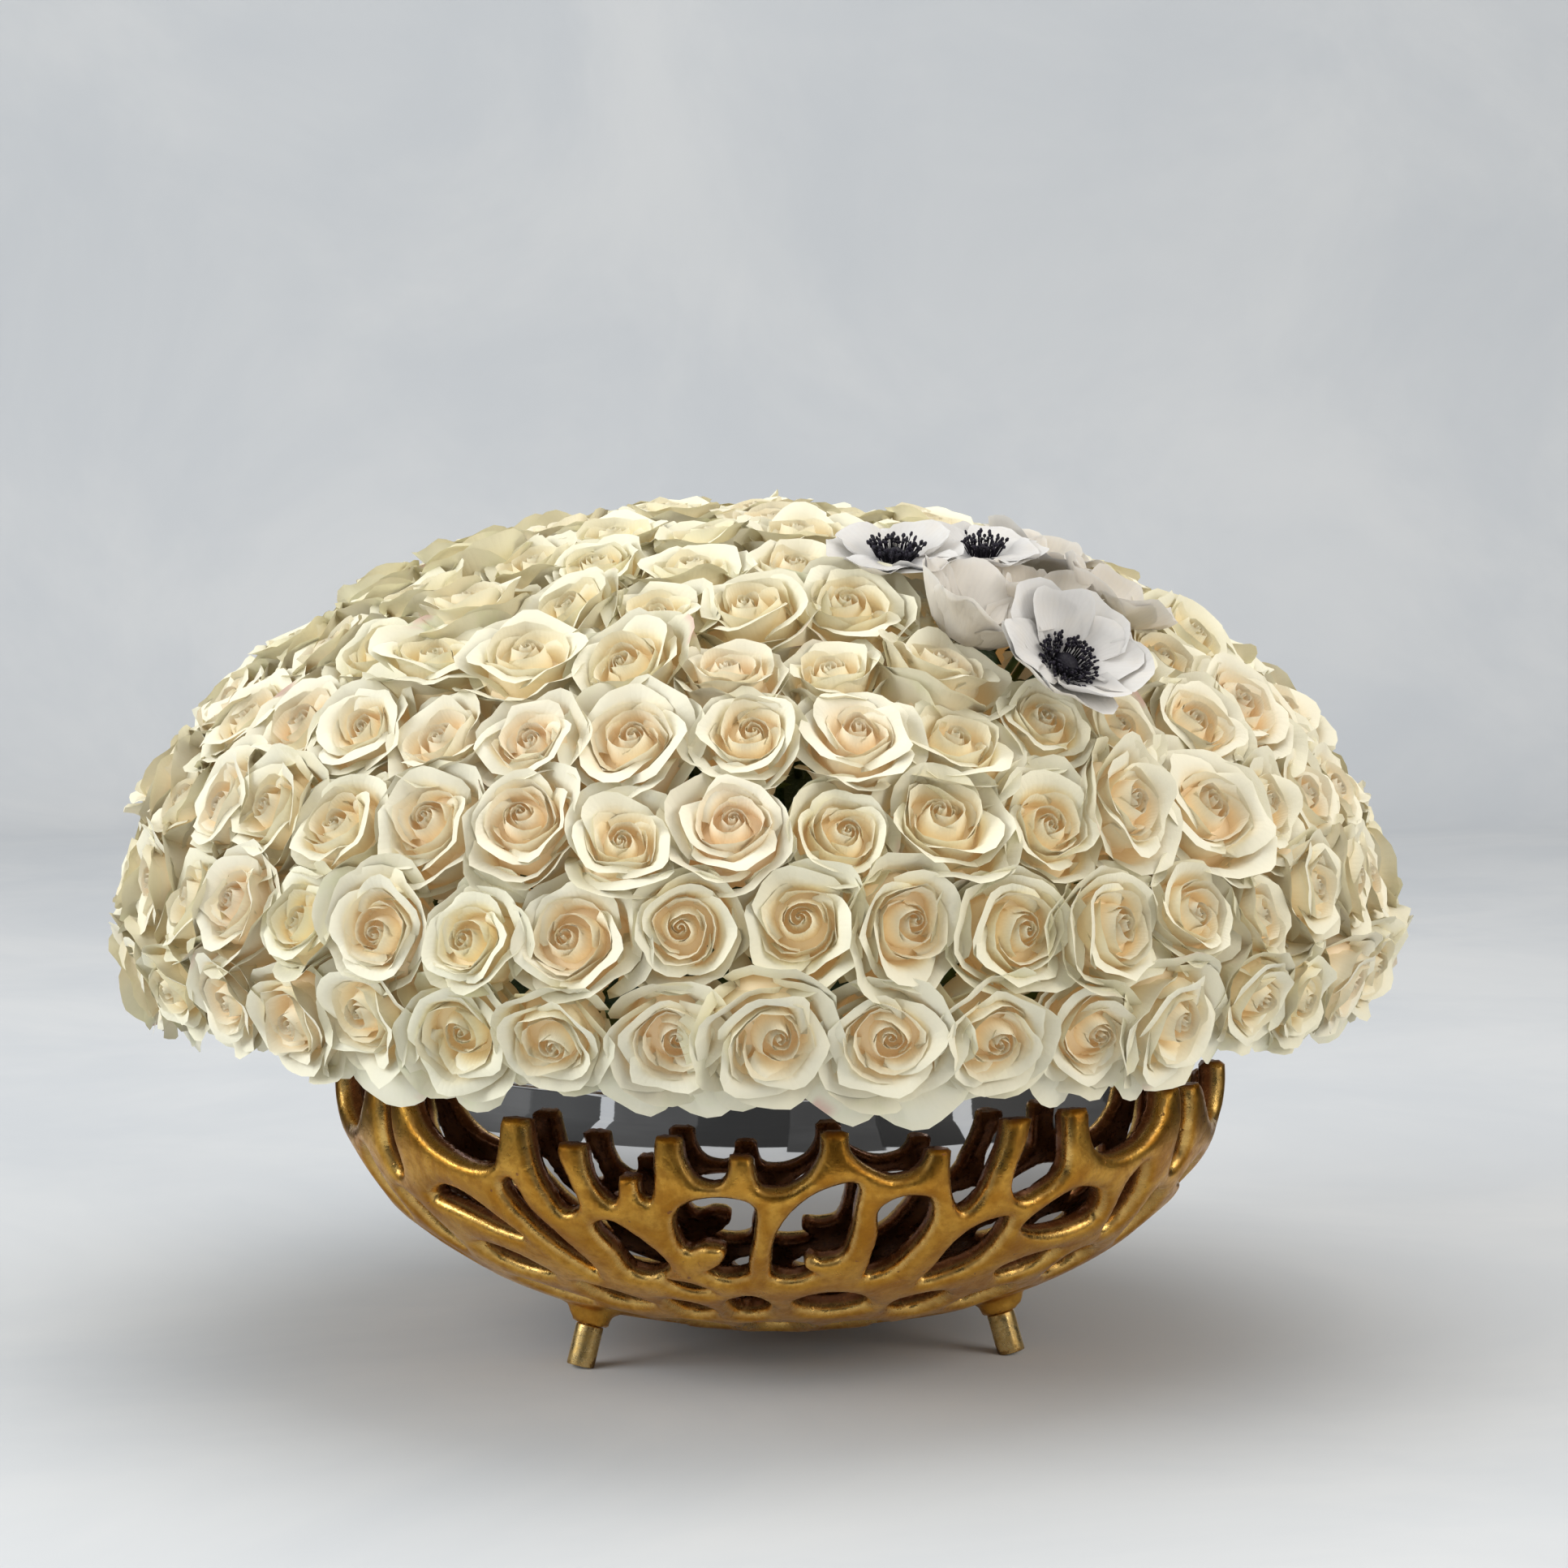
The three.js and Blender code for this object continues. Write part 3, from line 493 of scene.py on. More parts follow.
# %% [markdown]
# ## One formula for the casting
# The whole casting is written as one formula that is negative inside the metal and zero on its skin: a
# wall with rounded edges, tips cut off flat, and three bosses with a bead that melt into the wall. Such
# a formula needs no cutters, so no joint shows.

# %% The casting's formula (mm)
EDGE_ROUND, INNER_ROUND, TIP_ROUND, CROWNING, CROWN_REACH = 5.0, 2.6, 1.1, 1.3, 9
LEG = {"radius": 7.4, "tilt": 17.0, "foot": 134.0, "planed": 1.5, "length": 23.0, "spigot": 4.0}
BOSS = {"radius": 9.75, "length": 17.0, "bead": 4.2, "edge": 1.6, "fillet": 7.0}
HOLE = {"play": 0.3, "below": 4, "depth": 9.3}
SEAT = {"radius": 18.0, "bottom": 14.0, "top": 27.2, "edge": 1.0, "fillet": 4.0}
LEG_AZIMUTHS = {"leg_front_left": -52.0, "leg_front_right": 68.0, "leg_back": 188.0}


def unwrap(p):
    """Azimuth and rise in degrees, and inset in mm below the outer skin, of points in mm."""
    reach, drop = np.hypot(p[..., 0], p[..., 1]), BASKET["centre"] - p[..., 2]
    inset = np.zeros(reach.shape)
    for _ in range(5):
        a, b = BASKET["radius"] - inset, BASKET["depth"] - inset
        miss = (reach / a) ** 2 + (drop / b) ** 2 - 1
        slope = 2 * reach ** 2 / a ** 3 + 2 * drop ** 2 / b ** 3
        inset = np.clip(inset - miss / np.maximum(slope, 1e-6), -30, 60)
    azimuth = np.degrees(np.arctan2(p[..., 0], -p[..., 1]))
    rise = np.degrees(np.arctan2(reach / (BASKET["radius"] - inset), drop / (BASKET["depth"] - inset)))
    return azimuth, rise, inset


def melt(a, b, reach):
    """The union of two forms with a fillet of about the given reach."""
    share = np.clip(0.5 + 0.5 * (b - a) / reach, 0, 1)
    return b + (a - b) * share - reach * share * (1 - share)


def leg_axes(azimuth):
    """Foot, side, across and axis directions of a leg."""
    out = outward(np.float64(azimuth))
    axis = -out * math.sin(math.radians(LEG["tilt"])) + (0, 0, math.cos(math.radians(LEG["tilt"])))
    side = outward(np.float64(azimuth + 90))
    return out * LEG["foot"], side, np.cross(axis, side), axis


def rod_form(p, foot, axis, radius, low, high, edge):
    along = (p - foot) @ axis
    across = np.linalg.norm(p - foot - along[..., None] * axis, axis=-1)
    q = np.stack([across - radius + edge, np.abs(along - (low + high) / 2) - (high - low) / 2 + edge])
    return np.linalg.norm(np.maximum(q, 0), axis=0) + np.minimum(q.max(0), 0) - edge


def wall_form(p):
    azimuth, rise, inset = unwrap(p)
    edge = to_edge(azimuth, rise)
    crown = CROWNING * np.clip(edge / CROWN_REACH, 0, 1) ** 0.7     # a branch is fuller along its middle
    crowned = inset + crown * np.clip(1 - inset / BASKET["wall"], 0, 1)
    outer = np.hypot(np.maximum(EDGE_ROUND - edge, 0), np.maximum(EDGE_ROUND - crowned, 0)) - EDGE_ROUND
    inner = np.hypot(np.maximum(INNER_ROUND - edge, 0),
                     np.maximum(inset - BASKET["wall"] + INNER_ROUND, 0)) - INNER_ROUND
    form = np.maximum(outer, inner)
    above = (rise - tip_rise(azimuth)) * BASKET["depth"] * math.pi / 180
    return -melt(-form, -above, TIP_ROUND)


def casting_form(p):
    form = wall_form(p)
    up = np.array([0.0, 0.0, 1.0])
    seat = rod_form(p, np.zeros(3), up, SEAT["radius"], SEAT["bottom"], SEAT["top"], SEAT["edge"])
    form = melt(form, seat, SEAT["fillet"])
    start = LEG["length"]
    for azimuth in LEG_AZIMUTHS.values():
        foot, side, across, axis = leg_axes(azimuth)
        boss = rod_form(p, foot, axis, BOSS["radius"], start, start + BOSS["length"], BOSS["edge"])
        bead_at = foot + axis * (start + BOSS["length"] / 3) - across * BOSS["radius"]
        bead = np.linalg.norm(p - bead_at, axis=-1) - BOSS["bead"]
        hole = rod_form(p, foot, axis, LEG["spigot"] + HOLE["play"], start - HOLE["below"],
                        start + HOLE["depth"], HOLE["play"])
        form = np.maximum(melt(form, melt(boss, bead, BOSS["edge"]), BOSS["fillet"]), -hole)
    return form

# %% [markdown]
# ## A skin for the formula
# The space round the basket is cut into small cubes. Each cube that the skin passes through gets one
# corner point, and neighbouring points are joined into squares, so the mesh is even, closed and has no
# long slivers. The points are then slid onto the exact skin.

# %% The skin of a formula on a grid of cubes
def skin(form, low, high, cube):
    counts = [int(round((b - a) / cube)) + 1 for a, b in zip(low, high)]
    axes = [a + cube * np.arange(n) for a, n in zip(low, counts)]
    value = np.empty(counts)
    for i, x in enumerate(axes[0]):
        y, z = np.meshgrid(axes[1], axes[2], indexing="ij")
        value[i] = form(np.stack([np.full(y.shape, x), y, z], -1))
    metal = value < 0
    steps = [(i, j, k) for i in (0, 1) for j in (0, 1) for k in (0, 1)]
    full = sum(metal[i:counts[0] - 1 + i, j:counts[1] - 1 + j, k:counts[2] - 1 + k].astype(int)
               for i, j, k in steps)
    passed = (full > 0) & (full < 8)
    number = np.full(passed.shape, -1)
    number[passed] = np.arange(passed.sum())
    cells = np.argwhere(passed)
    total, hits = np.zeros((len(cells), 3)), np.zeros(len(cells))
    for a in steps:
        for axis in range(3):
            if a[axis] == 0:
                b = tuple(s + (n == axis) for n, s in enumerate(a))
                fa, fb = value[tuple((cells + a).T)], value[tuple((cells + b).T)]
                cross = (fa < 0) != (fb < 0)
                share = np.where(cross, fa / np.where(cross, fa - fb, 1), 0)
                spot = np.array(a) + share[:, None] * (np.array(b) - a)
                total += spot * cross[:, None]
                hits += cross
    points = (cells + total / hits[:, None]) * cube + low
    faces = []
    for axis in range(3):
        u, v = np.eye(3, dtype=int)[(axis + 1) % 3], np.eye(3, dtype=int)[(axis + 2) % 3]
        ahead = [slice(0, n - (n_axis == axis)) for n_axis, n in enumerate(counts)]
        shifted = [slice(int(n_axis == axis), None) for n_axis in range(3)]
        start, end = metal[tuple(ahead)], metal[tuple(shifted)]
        at = np.argwhere(start != end)
        at = at[(at[:, (axis + 1) % 3] > 0) & (at[:, (axis + 2) % 3] > 0)]
        ring = [number[tuple((at - d).T)] for d in (np.zeros(3, int), u, u + v, v)]
        square = np.stack(ring, -1)
        leaving = start[tuple(at.T)]
        faces.append(np.where(leaving[:, None], square, square[:, ::-1]))
    return points, np.vstack(faces)


SLOPE_STEP, ROUNDS = 0.25, 4


def slope_of(form, p):
    return np.stack([(form(p + d) - form(p - d)) / (2 * SLOPE_STEP) for d in np.eye(3) * SLOPE_STEP], -1)


def settled(form, points, faces):
    """Points evened out along the skin and slid back onto it."""
    ends = np.vstack([faces[:, [0, 1]], faces[:, [1, 2]], faces[:, [2, 3]], faces[:, [3, 0]]])
    for turn in range(ROUNDS):
        slope = slope_of(form, points)
        steep = np.maximum((slope ** 2).sum(-1), 0.05)
        if turn < ROUNDS - 1:
            total = np.zeros_like(points)
            for axis in range(3):
                total[:, axis] = np.bincount(ends[:, 0], points[ends[:, 1], axis], len(points))
            middle = total / np.bincount(ends[:, 0], minlength=len(points))[:, None]
            drift = (middle - points) * 0.5
            normal = slope / np.sqrt(steep)[:, None]
            points = points + drift - normal * (drift * normal).sum(-1)[:, None]
        points = points - np.clip(form(points) / steep, -1, 1)[:, None] * slope
    return points


CUBE, BOX_HALF, BOX_LOW, BOX_HIGH = 3.1, 247.5, 7.5, 165.0
points, faces = skin(casting_form, (-BOX_HALF, -BOX_HALF, BOX_LOW), (BOX_HALF, BOX_HALF, BOX_HIGH), CUBE)
points = settled(casting_form, points, faces)
basket = sheet_object("gilded_basket", (points + BOWL_AT) * MM, faces)
print("basket skin:", len(points), "points,", 2 * len(faces), "triangles")

# %% Marks on the basket for its finish: branch edges, inner side, cut tops
def mark(piece, name, values):
    made = piece.data.attributes.new(name, "FLOAT", "POINT")
    made.data.foreach_set("value", np.asarray(values, np.float32))


EDGE_SCALE, MM_PER_DEGREE = 10, 2.32         # mm over which an edge fades, and in a degree of rise
azimuth, rise, inset = unwrap(points)
above = (rise - tip_rise(azimuth)) * MM_PER_DEGREE
mark(basket, "edge", np.clip(to_edge(azimuth, rise) / EDGE_SCALE, -0.2, 1))
mark(basket, "inset", np.clip(inset / BASKET["wall"], -1, 2))
mark(basket, "top", np.clip(above + 1.0, 0, 1) * (inset > 1.0) * (inset < BASKET["wall"] - 0.5))
print("basket marks: edge, inset, top")

# %% [markdown]
# ## Gold leaf over a dark ground
# The leaf is laid over a dark red-brown ground. It is whole on the outer faces. On the edges it is
# a paler gold, a painted highlight, and smoother, as burnished gilding is. Deeper in the walls of the
# openings and on the inner side the ground shows, partly as the real ground and partly as painted shade
# in these recesses, and the ground shows on the cut tips too. The leaf itself is not even: it has soft
# lighter and deeper sheets, fine brush lines and small dark pits.

# %% Gilded finish
gilded, bench, shader = finish("gilded_casting", constants={"IOR": 1.5})
edge, inset, top = (bench.attribute(name) for name in ("edge", "inset", "top"))
sheets = bench.between(bench.noise(34, 4.0, 0.6, warp=0.8), 0.32, 0.7)
grain = bench.noise(620, 3.0, 0.65)
mottle = bench.noise(150, 4.0, 0.7)
pits = bench.between(bench.noise(210, 2.0, 0.4), 0.72, 0.78)
# Partly painted shade: the dark red-brown ground takes over deeper in the walls of the openings and on the
# inner side. It is partly the real ground and partly painted shade in these recesses.
inner = bench.between(inset + (mottle - 0.5) * 0.22, 0.24, 0.60)
# Painted highlight: the edges of the branches turn a paler gold; the same mask makes them a little smoother,
# as burnished gilding is.
burnish_and_highlight = bench.between(edge + (mottle - 0.5) * 0.22, 0.02, 0.34, 1.0, 0.0)
gold = bench.mix(sheets, (0.53, 0.235, 0.028), (0.82, 0.46, 0.085))
gold = bench.mix(bench.between(mottle, 0.42, 0.72) * 0.55, gold, (0.40, 0.165, 0.024))
gold = bench.mix(burnish_and_highlight * 0.7, gold, (0.93, 0.64, 0.23))
ground = bench.mix(bench.between(mottle, 0.35, 0.7), (0.20, 0.065, 0.020), (0.33, 0.125, 0.036))
bare_ground_and_shade = bench.maths("MAXIMUM", bench.maths("MAXIMUM", inner, top * 0.9), pits * 0.85)
shader["Base Color"] = bench.mix(bare_ground_and_shade, gold, ground)
shader["Metallic"] = bench.between(bare_ground_and_shade, 0.0, 1.0, 1.0, 0.55)
shine = bench.between(mottle, 0.3, 0.75, 0.27, 0.46) + (grain - 0.5) * 0.16
shader["Roughness"] = shine - burnish_and_highlight * 0.07 - inner * 0.04
bumped(bench, shader, grain * 0.30 + mottle * 0.55 + sheets * 0.5 - pits * 0.5, 0.0011, 0.42)
basket.data.materials.append(gilded)
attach(basket, "root")
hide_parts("basket")
print("gilded finish nodes:", len(gilded.node_tree.nodes))

# %% [markdown]
# ## The legs
# Each leg is a turned brass rod with a spigot that screws into its boss. It leans outwards, its end is
# cut square, and the low edge of that end is planed level so that it stands flat. A ring of points is
# carried along the rod's profile, and the points that would pass through the table are stopped there.

# %% Turned pieces: a profile carried round an axis
def turned(profile, around, foot=(0, 0, 0), side=(1, 0, 0), across=(0, 1, 0), axis=(0, 0, 1)):
    """Points and faces of a closed form; the profile's first and last points lie on the axis."""
    foot, side, across, axis = map(np.asarray, (foot, side, across, axis))
    turn = np.arange(around) * TURN / around
    ring = np.cos(turn)[:, None] * side + np.sin(turn)[:, None] * across
    points = [foot + profile[0][1] * axis]
    for radius, height in profile[1:-1]:
        points += list(foot + radius * ring + height * axis)
    points.append(foot + profile[-1][1] * axis)
    last = len(points) - 1
    faces = [(0, 1 + (k + 1) % around, 1 + k) for k in range(around)]
    for r in range(len(profile) - 3):
        a = 1 + r * around
        faces += [(a + k, a + (k + 1) % around, a + around + (k + 1) % around, a + around + k)
                  for k in range(around)]
    a = 1 + (len(profile) - 3) * around
    faces += [(last, a + k, a + (k + 1) % around) for k in range(around)]
    return np.array(points), faces


def joined(parts):
    """Several sets of points and faces as one."""
    faces, count = [], 0
    for p, f in parts:
        faces += [tuple(k + count for k in face) for face in f]
        count += len(p)
    return np.vstack([p for p, _ in parts]), faces


def rounded_rod(radius, low, high, soft):
    """Profile of a rod whose end edges are rounded by soft mm."""
    arc = [math.radians(a) for a in (0, 30, 60, 90)]
    bottom = [(radius - soft + soft * math.sin(a), low + soft - soft * math.cos(a)) for a in arc]
    top = [(r, low + high - z) for r, z in reversed(bottom)]
    middle = [(radius, low + (high - low) * s) for s in (0.25, 0.5, 0.75)]
    return [(0, low), *bottom, *middle, *top, (0, high)]


LEG_AROUND, PIN_AROUND, PIN_REACH = 48, 28, 8.7
for name, azimuth in LEG_AZIMUTHS.items():
    tilt = math.radians(LEG["tilt"])
    start = (LEG["radius"] * math.sin(tilt) - LEG["planed"]) / math.cos(tilt)
    rod_line = rounded_rod(LEG["radius"], start, LEG["length"] - 0.3, 0.6)
    pin_line = rounded_rod(LEG["spigot"], LEG["length"] - 2, LEG["length"] + PIN_REACH, 0.4)
    rod, rod_faces = turned(rod_line, LEG_AROUND, *leg_axes(azimuth))
    rod[:, 2] = np.maximum(rod[:, 2], 0)
    points, faces = joined([(rod, rod_faces), turned(pin_line, PIN_AROUND, *leg_axes(azimuth))])
    leg = sheet_object(name.replace("leg", "brass_leg"), (points + BOWL_AT) * MM, faces)
    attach(leg, "root")
    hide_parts(name)
    print(leg.name, "height %.1f mm" % (rod[:, 2].max()))

# %% Leg brass: brushed round the rod, with dark patches that gather towards the foot
brass, bench, shader = finish("leg_brass", metallic=1.0)
height = bench.node("ShaderNodeSeparateXYZ", values={0: bench.place()}, out=2)
lines = bench.noise(1.0, 3.0, 0.6, where=bench.stretched(120.0, 2400.0))
scuff = bench.noise(160, 4.0, 0.7)
# The dark patches come more often within 9 mm of the floor.
low = bench.between(height, 0.0, 0.009, 1.0, 0.0)
colour = bench.mix(bench.between(scuff, 0.35, 0.7), (0.78, 0.56, 0.24), (0.58, 0.37, 0.115))
colour = bench.mix(bench.between(scuff + low * 0.16, 0.62, 0.72) * 0.7, colour, (0.20, 0.095, 0.03))
shader["Base Color"] = colour
shader["Roughness"] = bench.between(scuff, 0.3, 0.7, 0.20, 0.40) + (lines - 0.5) * 0.12
bumped(bench, shader, lines * 0.4 + scuff * 0.6, 0.0005, 0.25)
for piece in bpy.data.objects:
    if piece.name.startswith("brass_leg"):
        piece.data.materials.append(brass)
print("leg brass nodes:", len(brass.node_tree.nodes))

# %% [markdown]
# ## The polished liner bowl
# The liner is spun from thin steel and polished to a mirror, with its lip rolled outwards. It is a plain
# turned form, with many points round it, because a mirror shows every flat. Spinning leaves the faintest
# rings in it, which is all that its roughness and bump need.

# %% Liner
LINER = {"radius": 220.0, "depth": 122.5, "centre": 150.0, "wall": 1.5, "rim": 170.0, "lip": 2.0}
LINER_AROUND, BOWL_STEPS = 128, 20


def bowl_arc(radius, depth, steps=BOWL_STEPS):
    """Profile from the lowest point on the axis up to the rim's level."""
    rises = np.linspace(0, math.pi / 2, steps + 1)
    return [(radius * math.sin(a), LINER["centre"] - depth * math.cos(a)) for a in rises]


def rolled_lip():
    radius, lip = LINER["radius"], LINER["lip"]
    turns = [math.radians(a) for a in range(-80, 111, 19)]
    return [(radius + lip * math.cos(a), LINER["rim"] - lip + lip * math.sin(a)) for a in turns]


outer = bowl_arc(LINER["radius"], LINER["depth"])
inner_wall = bowl_arc(LINER["radius"] - LINER["wall"], LINER["depth"] - LINER["wall"])
straight = [(LINER["radius"], LINER["rim"] - drop) for drop in (17, 14, 11, 8, 5.6, 4.6)]
profile = outer + straight + rolled_lip() + inner_wall[::-1]
points, faces = turned(profile, LINER_AROUND)
liner = sheet_object("steel_liner", (points + BOWL_AT) * MM, faces)
steel, bench, shader = finish("polished_steel", metallic=1.0)
rings = bench.noise(1.0, 2.0, 0.5, where=bench.stretched(3.0, 260.0))
film = bench.noise(26, 4.0, 0.6)
shader["Base Color"] = bench.mix(film, (0.52, 0.52, 0.53), (0.60, 0.60, 0.60))
shader["Roughness"] = bench.between(film, 0.4, 0.8, 0.025, 0.085)
bumped(bench, shader, rings * 0.7 + film * 0.3, 0.0004, 0.05)
liner.data.materials.append(steel)
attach(liner, "root")
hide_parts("liner")
print("liner:", 2 * len(faces), "triangles")

# %% [markdown]
# ## The wet floral foam
# The foam block fills the liner and rises in a low dome that holds every stem. It is crumbly, dark and
# wet, and shows only in the deepest gaps. It is turned like the liner, then its top is broken up a
# little, as a block cut with a knife is.

# %% Foam
FOAM = {"radius": 217.9, "shoulder": 160.0, "dome": 200.0, "top": 330.0, "aim": 170.0, "rough": 1.6}
FOAM_AROUND, FOAM_STEPS, FOAM_GAP = 72, 18, 2.1
dome = [(FOAM["dome"] * math.cos(a), FOAM["shoulder"] + (FOAM["top"] - FOAM["shoulder"]) * math.sin(a))
        for a in np.linspace(0, math.pi / 2, 20)]
bowl = bowl_arc(FOAM["radius"], LINER["depth"] - FOAM_GAP, FOAM_STEPS)
bowl.append((FOAM["radius"] - 0.4, FOAM["shoulder"] - 5))
points, faces = turned(bowl + dome[:-1] + [(0, FOAM["top"])], FOAM_AROUND)
rng = np.random.default_rng(5)
above = points[:, 2] > FOAM["shoulder"] - 3
inward = points[above] / np.linalg.norm(points[above], axis=1)[:, None]
points[above] -= inward * rng.uniform(0, FOAM["rough"], above.sum())[:, None]
foam = sheet_object("wet_foam_block", (points + BOWL_AT) * MM, faces)
foam_stuff, bench, shader = finish("wet_foam", roughness=0.6)
crumb = bench.noise(420, 3.0, 0.7)
soak = bench.noise(14, 3.0, 0.5)
shader["Base Color"] = bench.mix(soak, (0.012, 0.035, 0.014), (0.035, 0.075, 0.025))
shader["Roughness"] = bench.between(crumb, 0.3, 0.7, 0.35, 0.8)
bumped(bench, shader, crumb, 0.0015, 0.8)
foam.data.materials.append(foam_stuff)
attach(foam, "root")
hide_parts("floral_foam")
print("foam:", len(faces), "faces")

# %% [markdown]
# ## Where the heads stand
# The heads are packed in rows round a dome, like bricks: a half-ellipse above its widest level and a
# shorter one below it. The rows are evenly spaced along the dome, and each row holds as many heads as fit.
# The same few sizes drive the frame, so every head lands where its solid is.

# %% Rows of the dome (mm)
DOME = {"radius": 345.0, "top": 458.0, "widest": 230.0, "lower": 145.0, "lowest_row": 208.0}
ROWS_OF_ROSES, PITCH, CROWN_DEPTH, HEADS_IN_ARC = 9, 53.0, 10.0, 7
ROW_START = [0, 8, 15, 8, 0.5, -2.3, -1.2, -1.2, 4.1, 2.4]
ANEMONES = [(5, 3), (3, 1), (3, 2), (4, 2), (3, 3), (4, 4), (4, 3)]     # row and slot of each


def dome_rows():
    angle = np.pi * np.arange(0, 2000) / 2000
    depth = np.where(angle < np.pi / 2, DOME["top"] - DOME["widest"], DOME["lower"])
    r, z = DOME["radius"] * np.sin(angle), DOME["widest"] + depth * np.cos(angle)
    normal = np.stack([np.sin(angle) / DOME["radius"], np.cos(angle) / depth], -1)
    normal /= np.linalg.norm(normal, axis=1)[:, None]
    wide = np.stack([r, z], -1) - CROWN_DEPTH * normal
    length = np.concatenate([[0], np.linalg.norm(np.diff(wide, axis=0), axis=1).cumsum()])
    last = int(np.argmax((z < DOME["lowest_row"]) & (normal[:, 1] < 0)))
    step = length[last] / ROWS_OF_ROSES
    rows = []
    for k in range(ROWS_OF_ROSES + 1):     # row 0 is the one head at the top
        i = min(int(np.searchsorted(length, k * step - 1e-6)), last)
        count = int(TURN * r[i] / PITCH + 0.5) if k else 1
        rows.append({"r": r[i], "z": z[i], "normal": normal[i], "count": count})
    return rows, step


rows, row_pitch = dome_rows()
print("row pitch %.1f mm, heads in the rows:" % row_pitch, [row["count"] for row in rows])

# %% A head's own frame, and which heads belong to which solid of the frame
def slot_azimuth(row, slot):
    return ROW_START[row] + 360 * slot / rows[row]["count"]


def head_frame(row, azimuth):
    """Columns along the row, uphill, out of the dome; and the crown's place."""
    spot, out_level, along = rows[row], outward(np.float64(azimuth)), outward(np.float64(azimuth + 90))
    out = out_level * spot["normal"][0] + (0, 0, spot["normal"][1])
    return np.stack([along, np.cross(out, along), out], -1), out_level * spot["r"] + (0, 0, spot["z"])


def half_up(value):
    return math.floor(value + 0.5)


def head_groups():
    groups = {"roses_crown": [(0, 0.0)] + [(1, slot_azimuth(1, s)) for s in range(rows[1]["count"])]}
    for row in range(2, ROWS_OF_ROSES + 1):
        taken = [slot for its_row, slot in ANEMONES if its_row == row]
        first, heads = (max(taken) + 1 if taken else 0), rows[row]["count"] - len(taken)
        arcs = math.ceil(heads / HEADS_IN_ARC)
        for i in range(arcs):
            low, high = half_up(heads * i / arcs), half_up(heads * (i + 1) / arcs)
            slots = range(first + low, first + high)
            groups[f"roses_row_{row}_arc_{i + 1}"] = [(row, slot_azimuth(row, s)) for s in slots]
    return groups


groups = head_groups()
print("groups:", len(groups), "roses:", sum(map(len, groups.values())))

# %% [markdown]
# ## A rose petal
# A petal is a cupped sheet. Its middle line leaves the hip flat, stands up along the wall of the head,
# and rolls outwards at the rim, more at its sides than in its middle, which draws the rim to a soft
# point. Bending a line by an angle that changes along it gives all of that. The sheet has a front and a
# back that meet at its edge, so it is a closed piece about half a millimetre thick.

# %% A closed sheet from two grids of points
def ease(x):
    x = np.clip(x, 0, 1)
    return x * x * (3 - 2 * x)


def closed_sheet(back, front):
    """Points and faces of a back and a front with one margin, and the numbers of the back's points."""
    m, n = back.shape[:2]
    points = np.vstack([back.reshape(-1, 3), front[1:-1, 1:-1].reshape(-1, 3)])
    number = np.arange(m * n).reshape(m, n)
    other = number.copy()
    other[1:-1, 1:-1] = m * n + np.arange((m - 2) * (n - 2)).reshape(m - 2, n - 2)
    squares = []
    for grid, order in ((number, (0, 1, 2, 3)), (other, (0, 3, 2, 1))):
        ring = grid[:-1, :-1], grid[:-1, 1:], grid[1:, 1:], grid[1:, :-1]
        squares.append(np.stack([ring[k] for k in order], -1).reshape(-1, 4))
    return points, np.vstack(squares), number


# %% Petal
LINE_STEPS = 48
RIM_THIN = 0.6         # how thick a petal still is at the last level before its rim, as a share
RIPPLES = (1, 2.6), (0.6, 5.7), (0.3, 11)     # height and rate of the waves along a rim


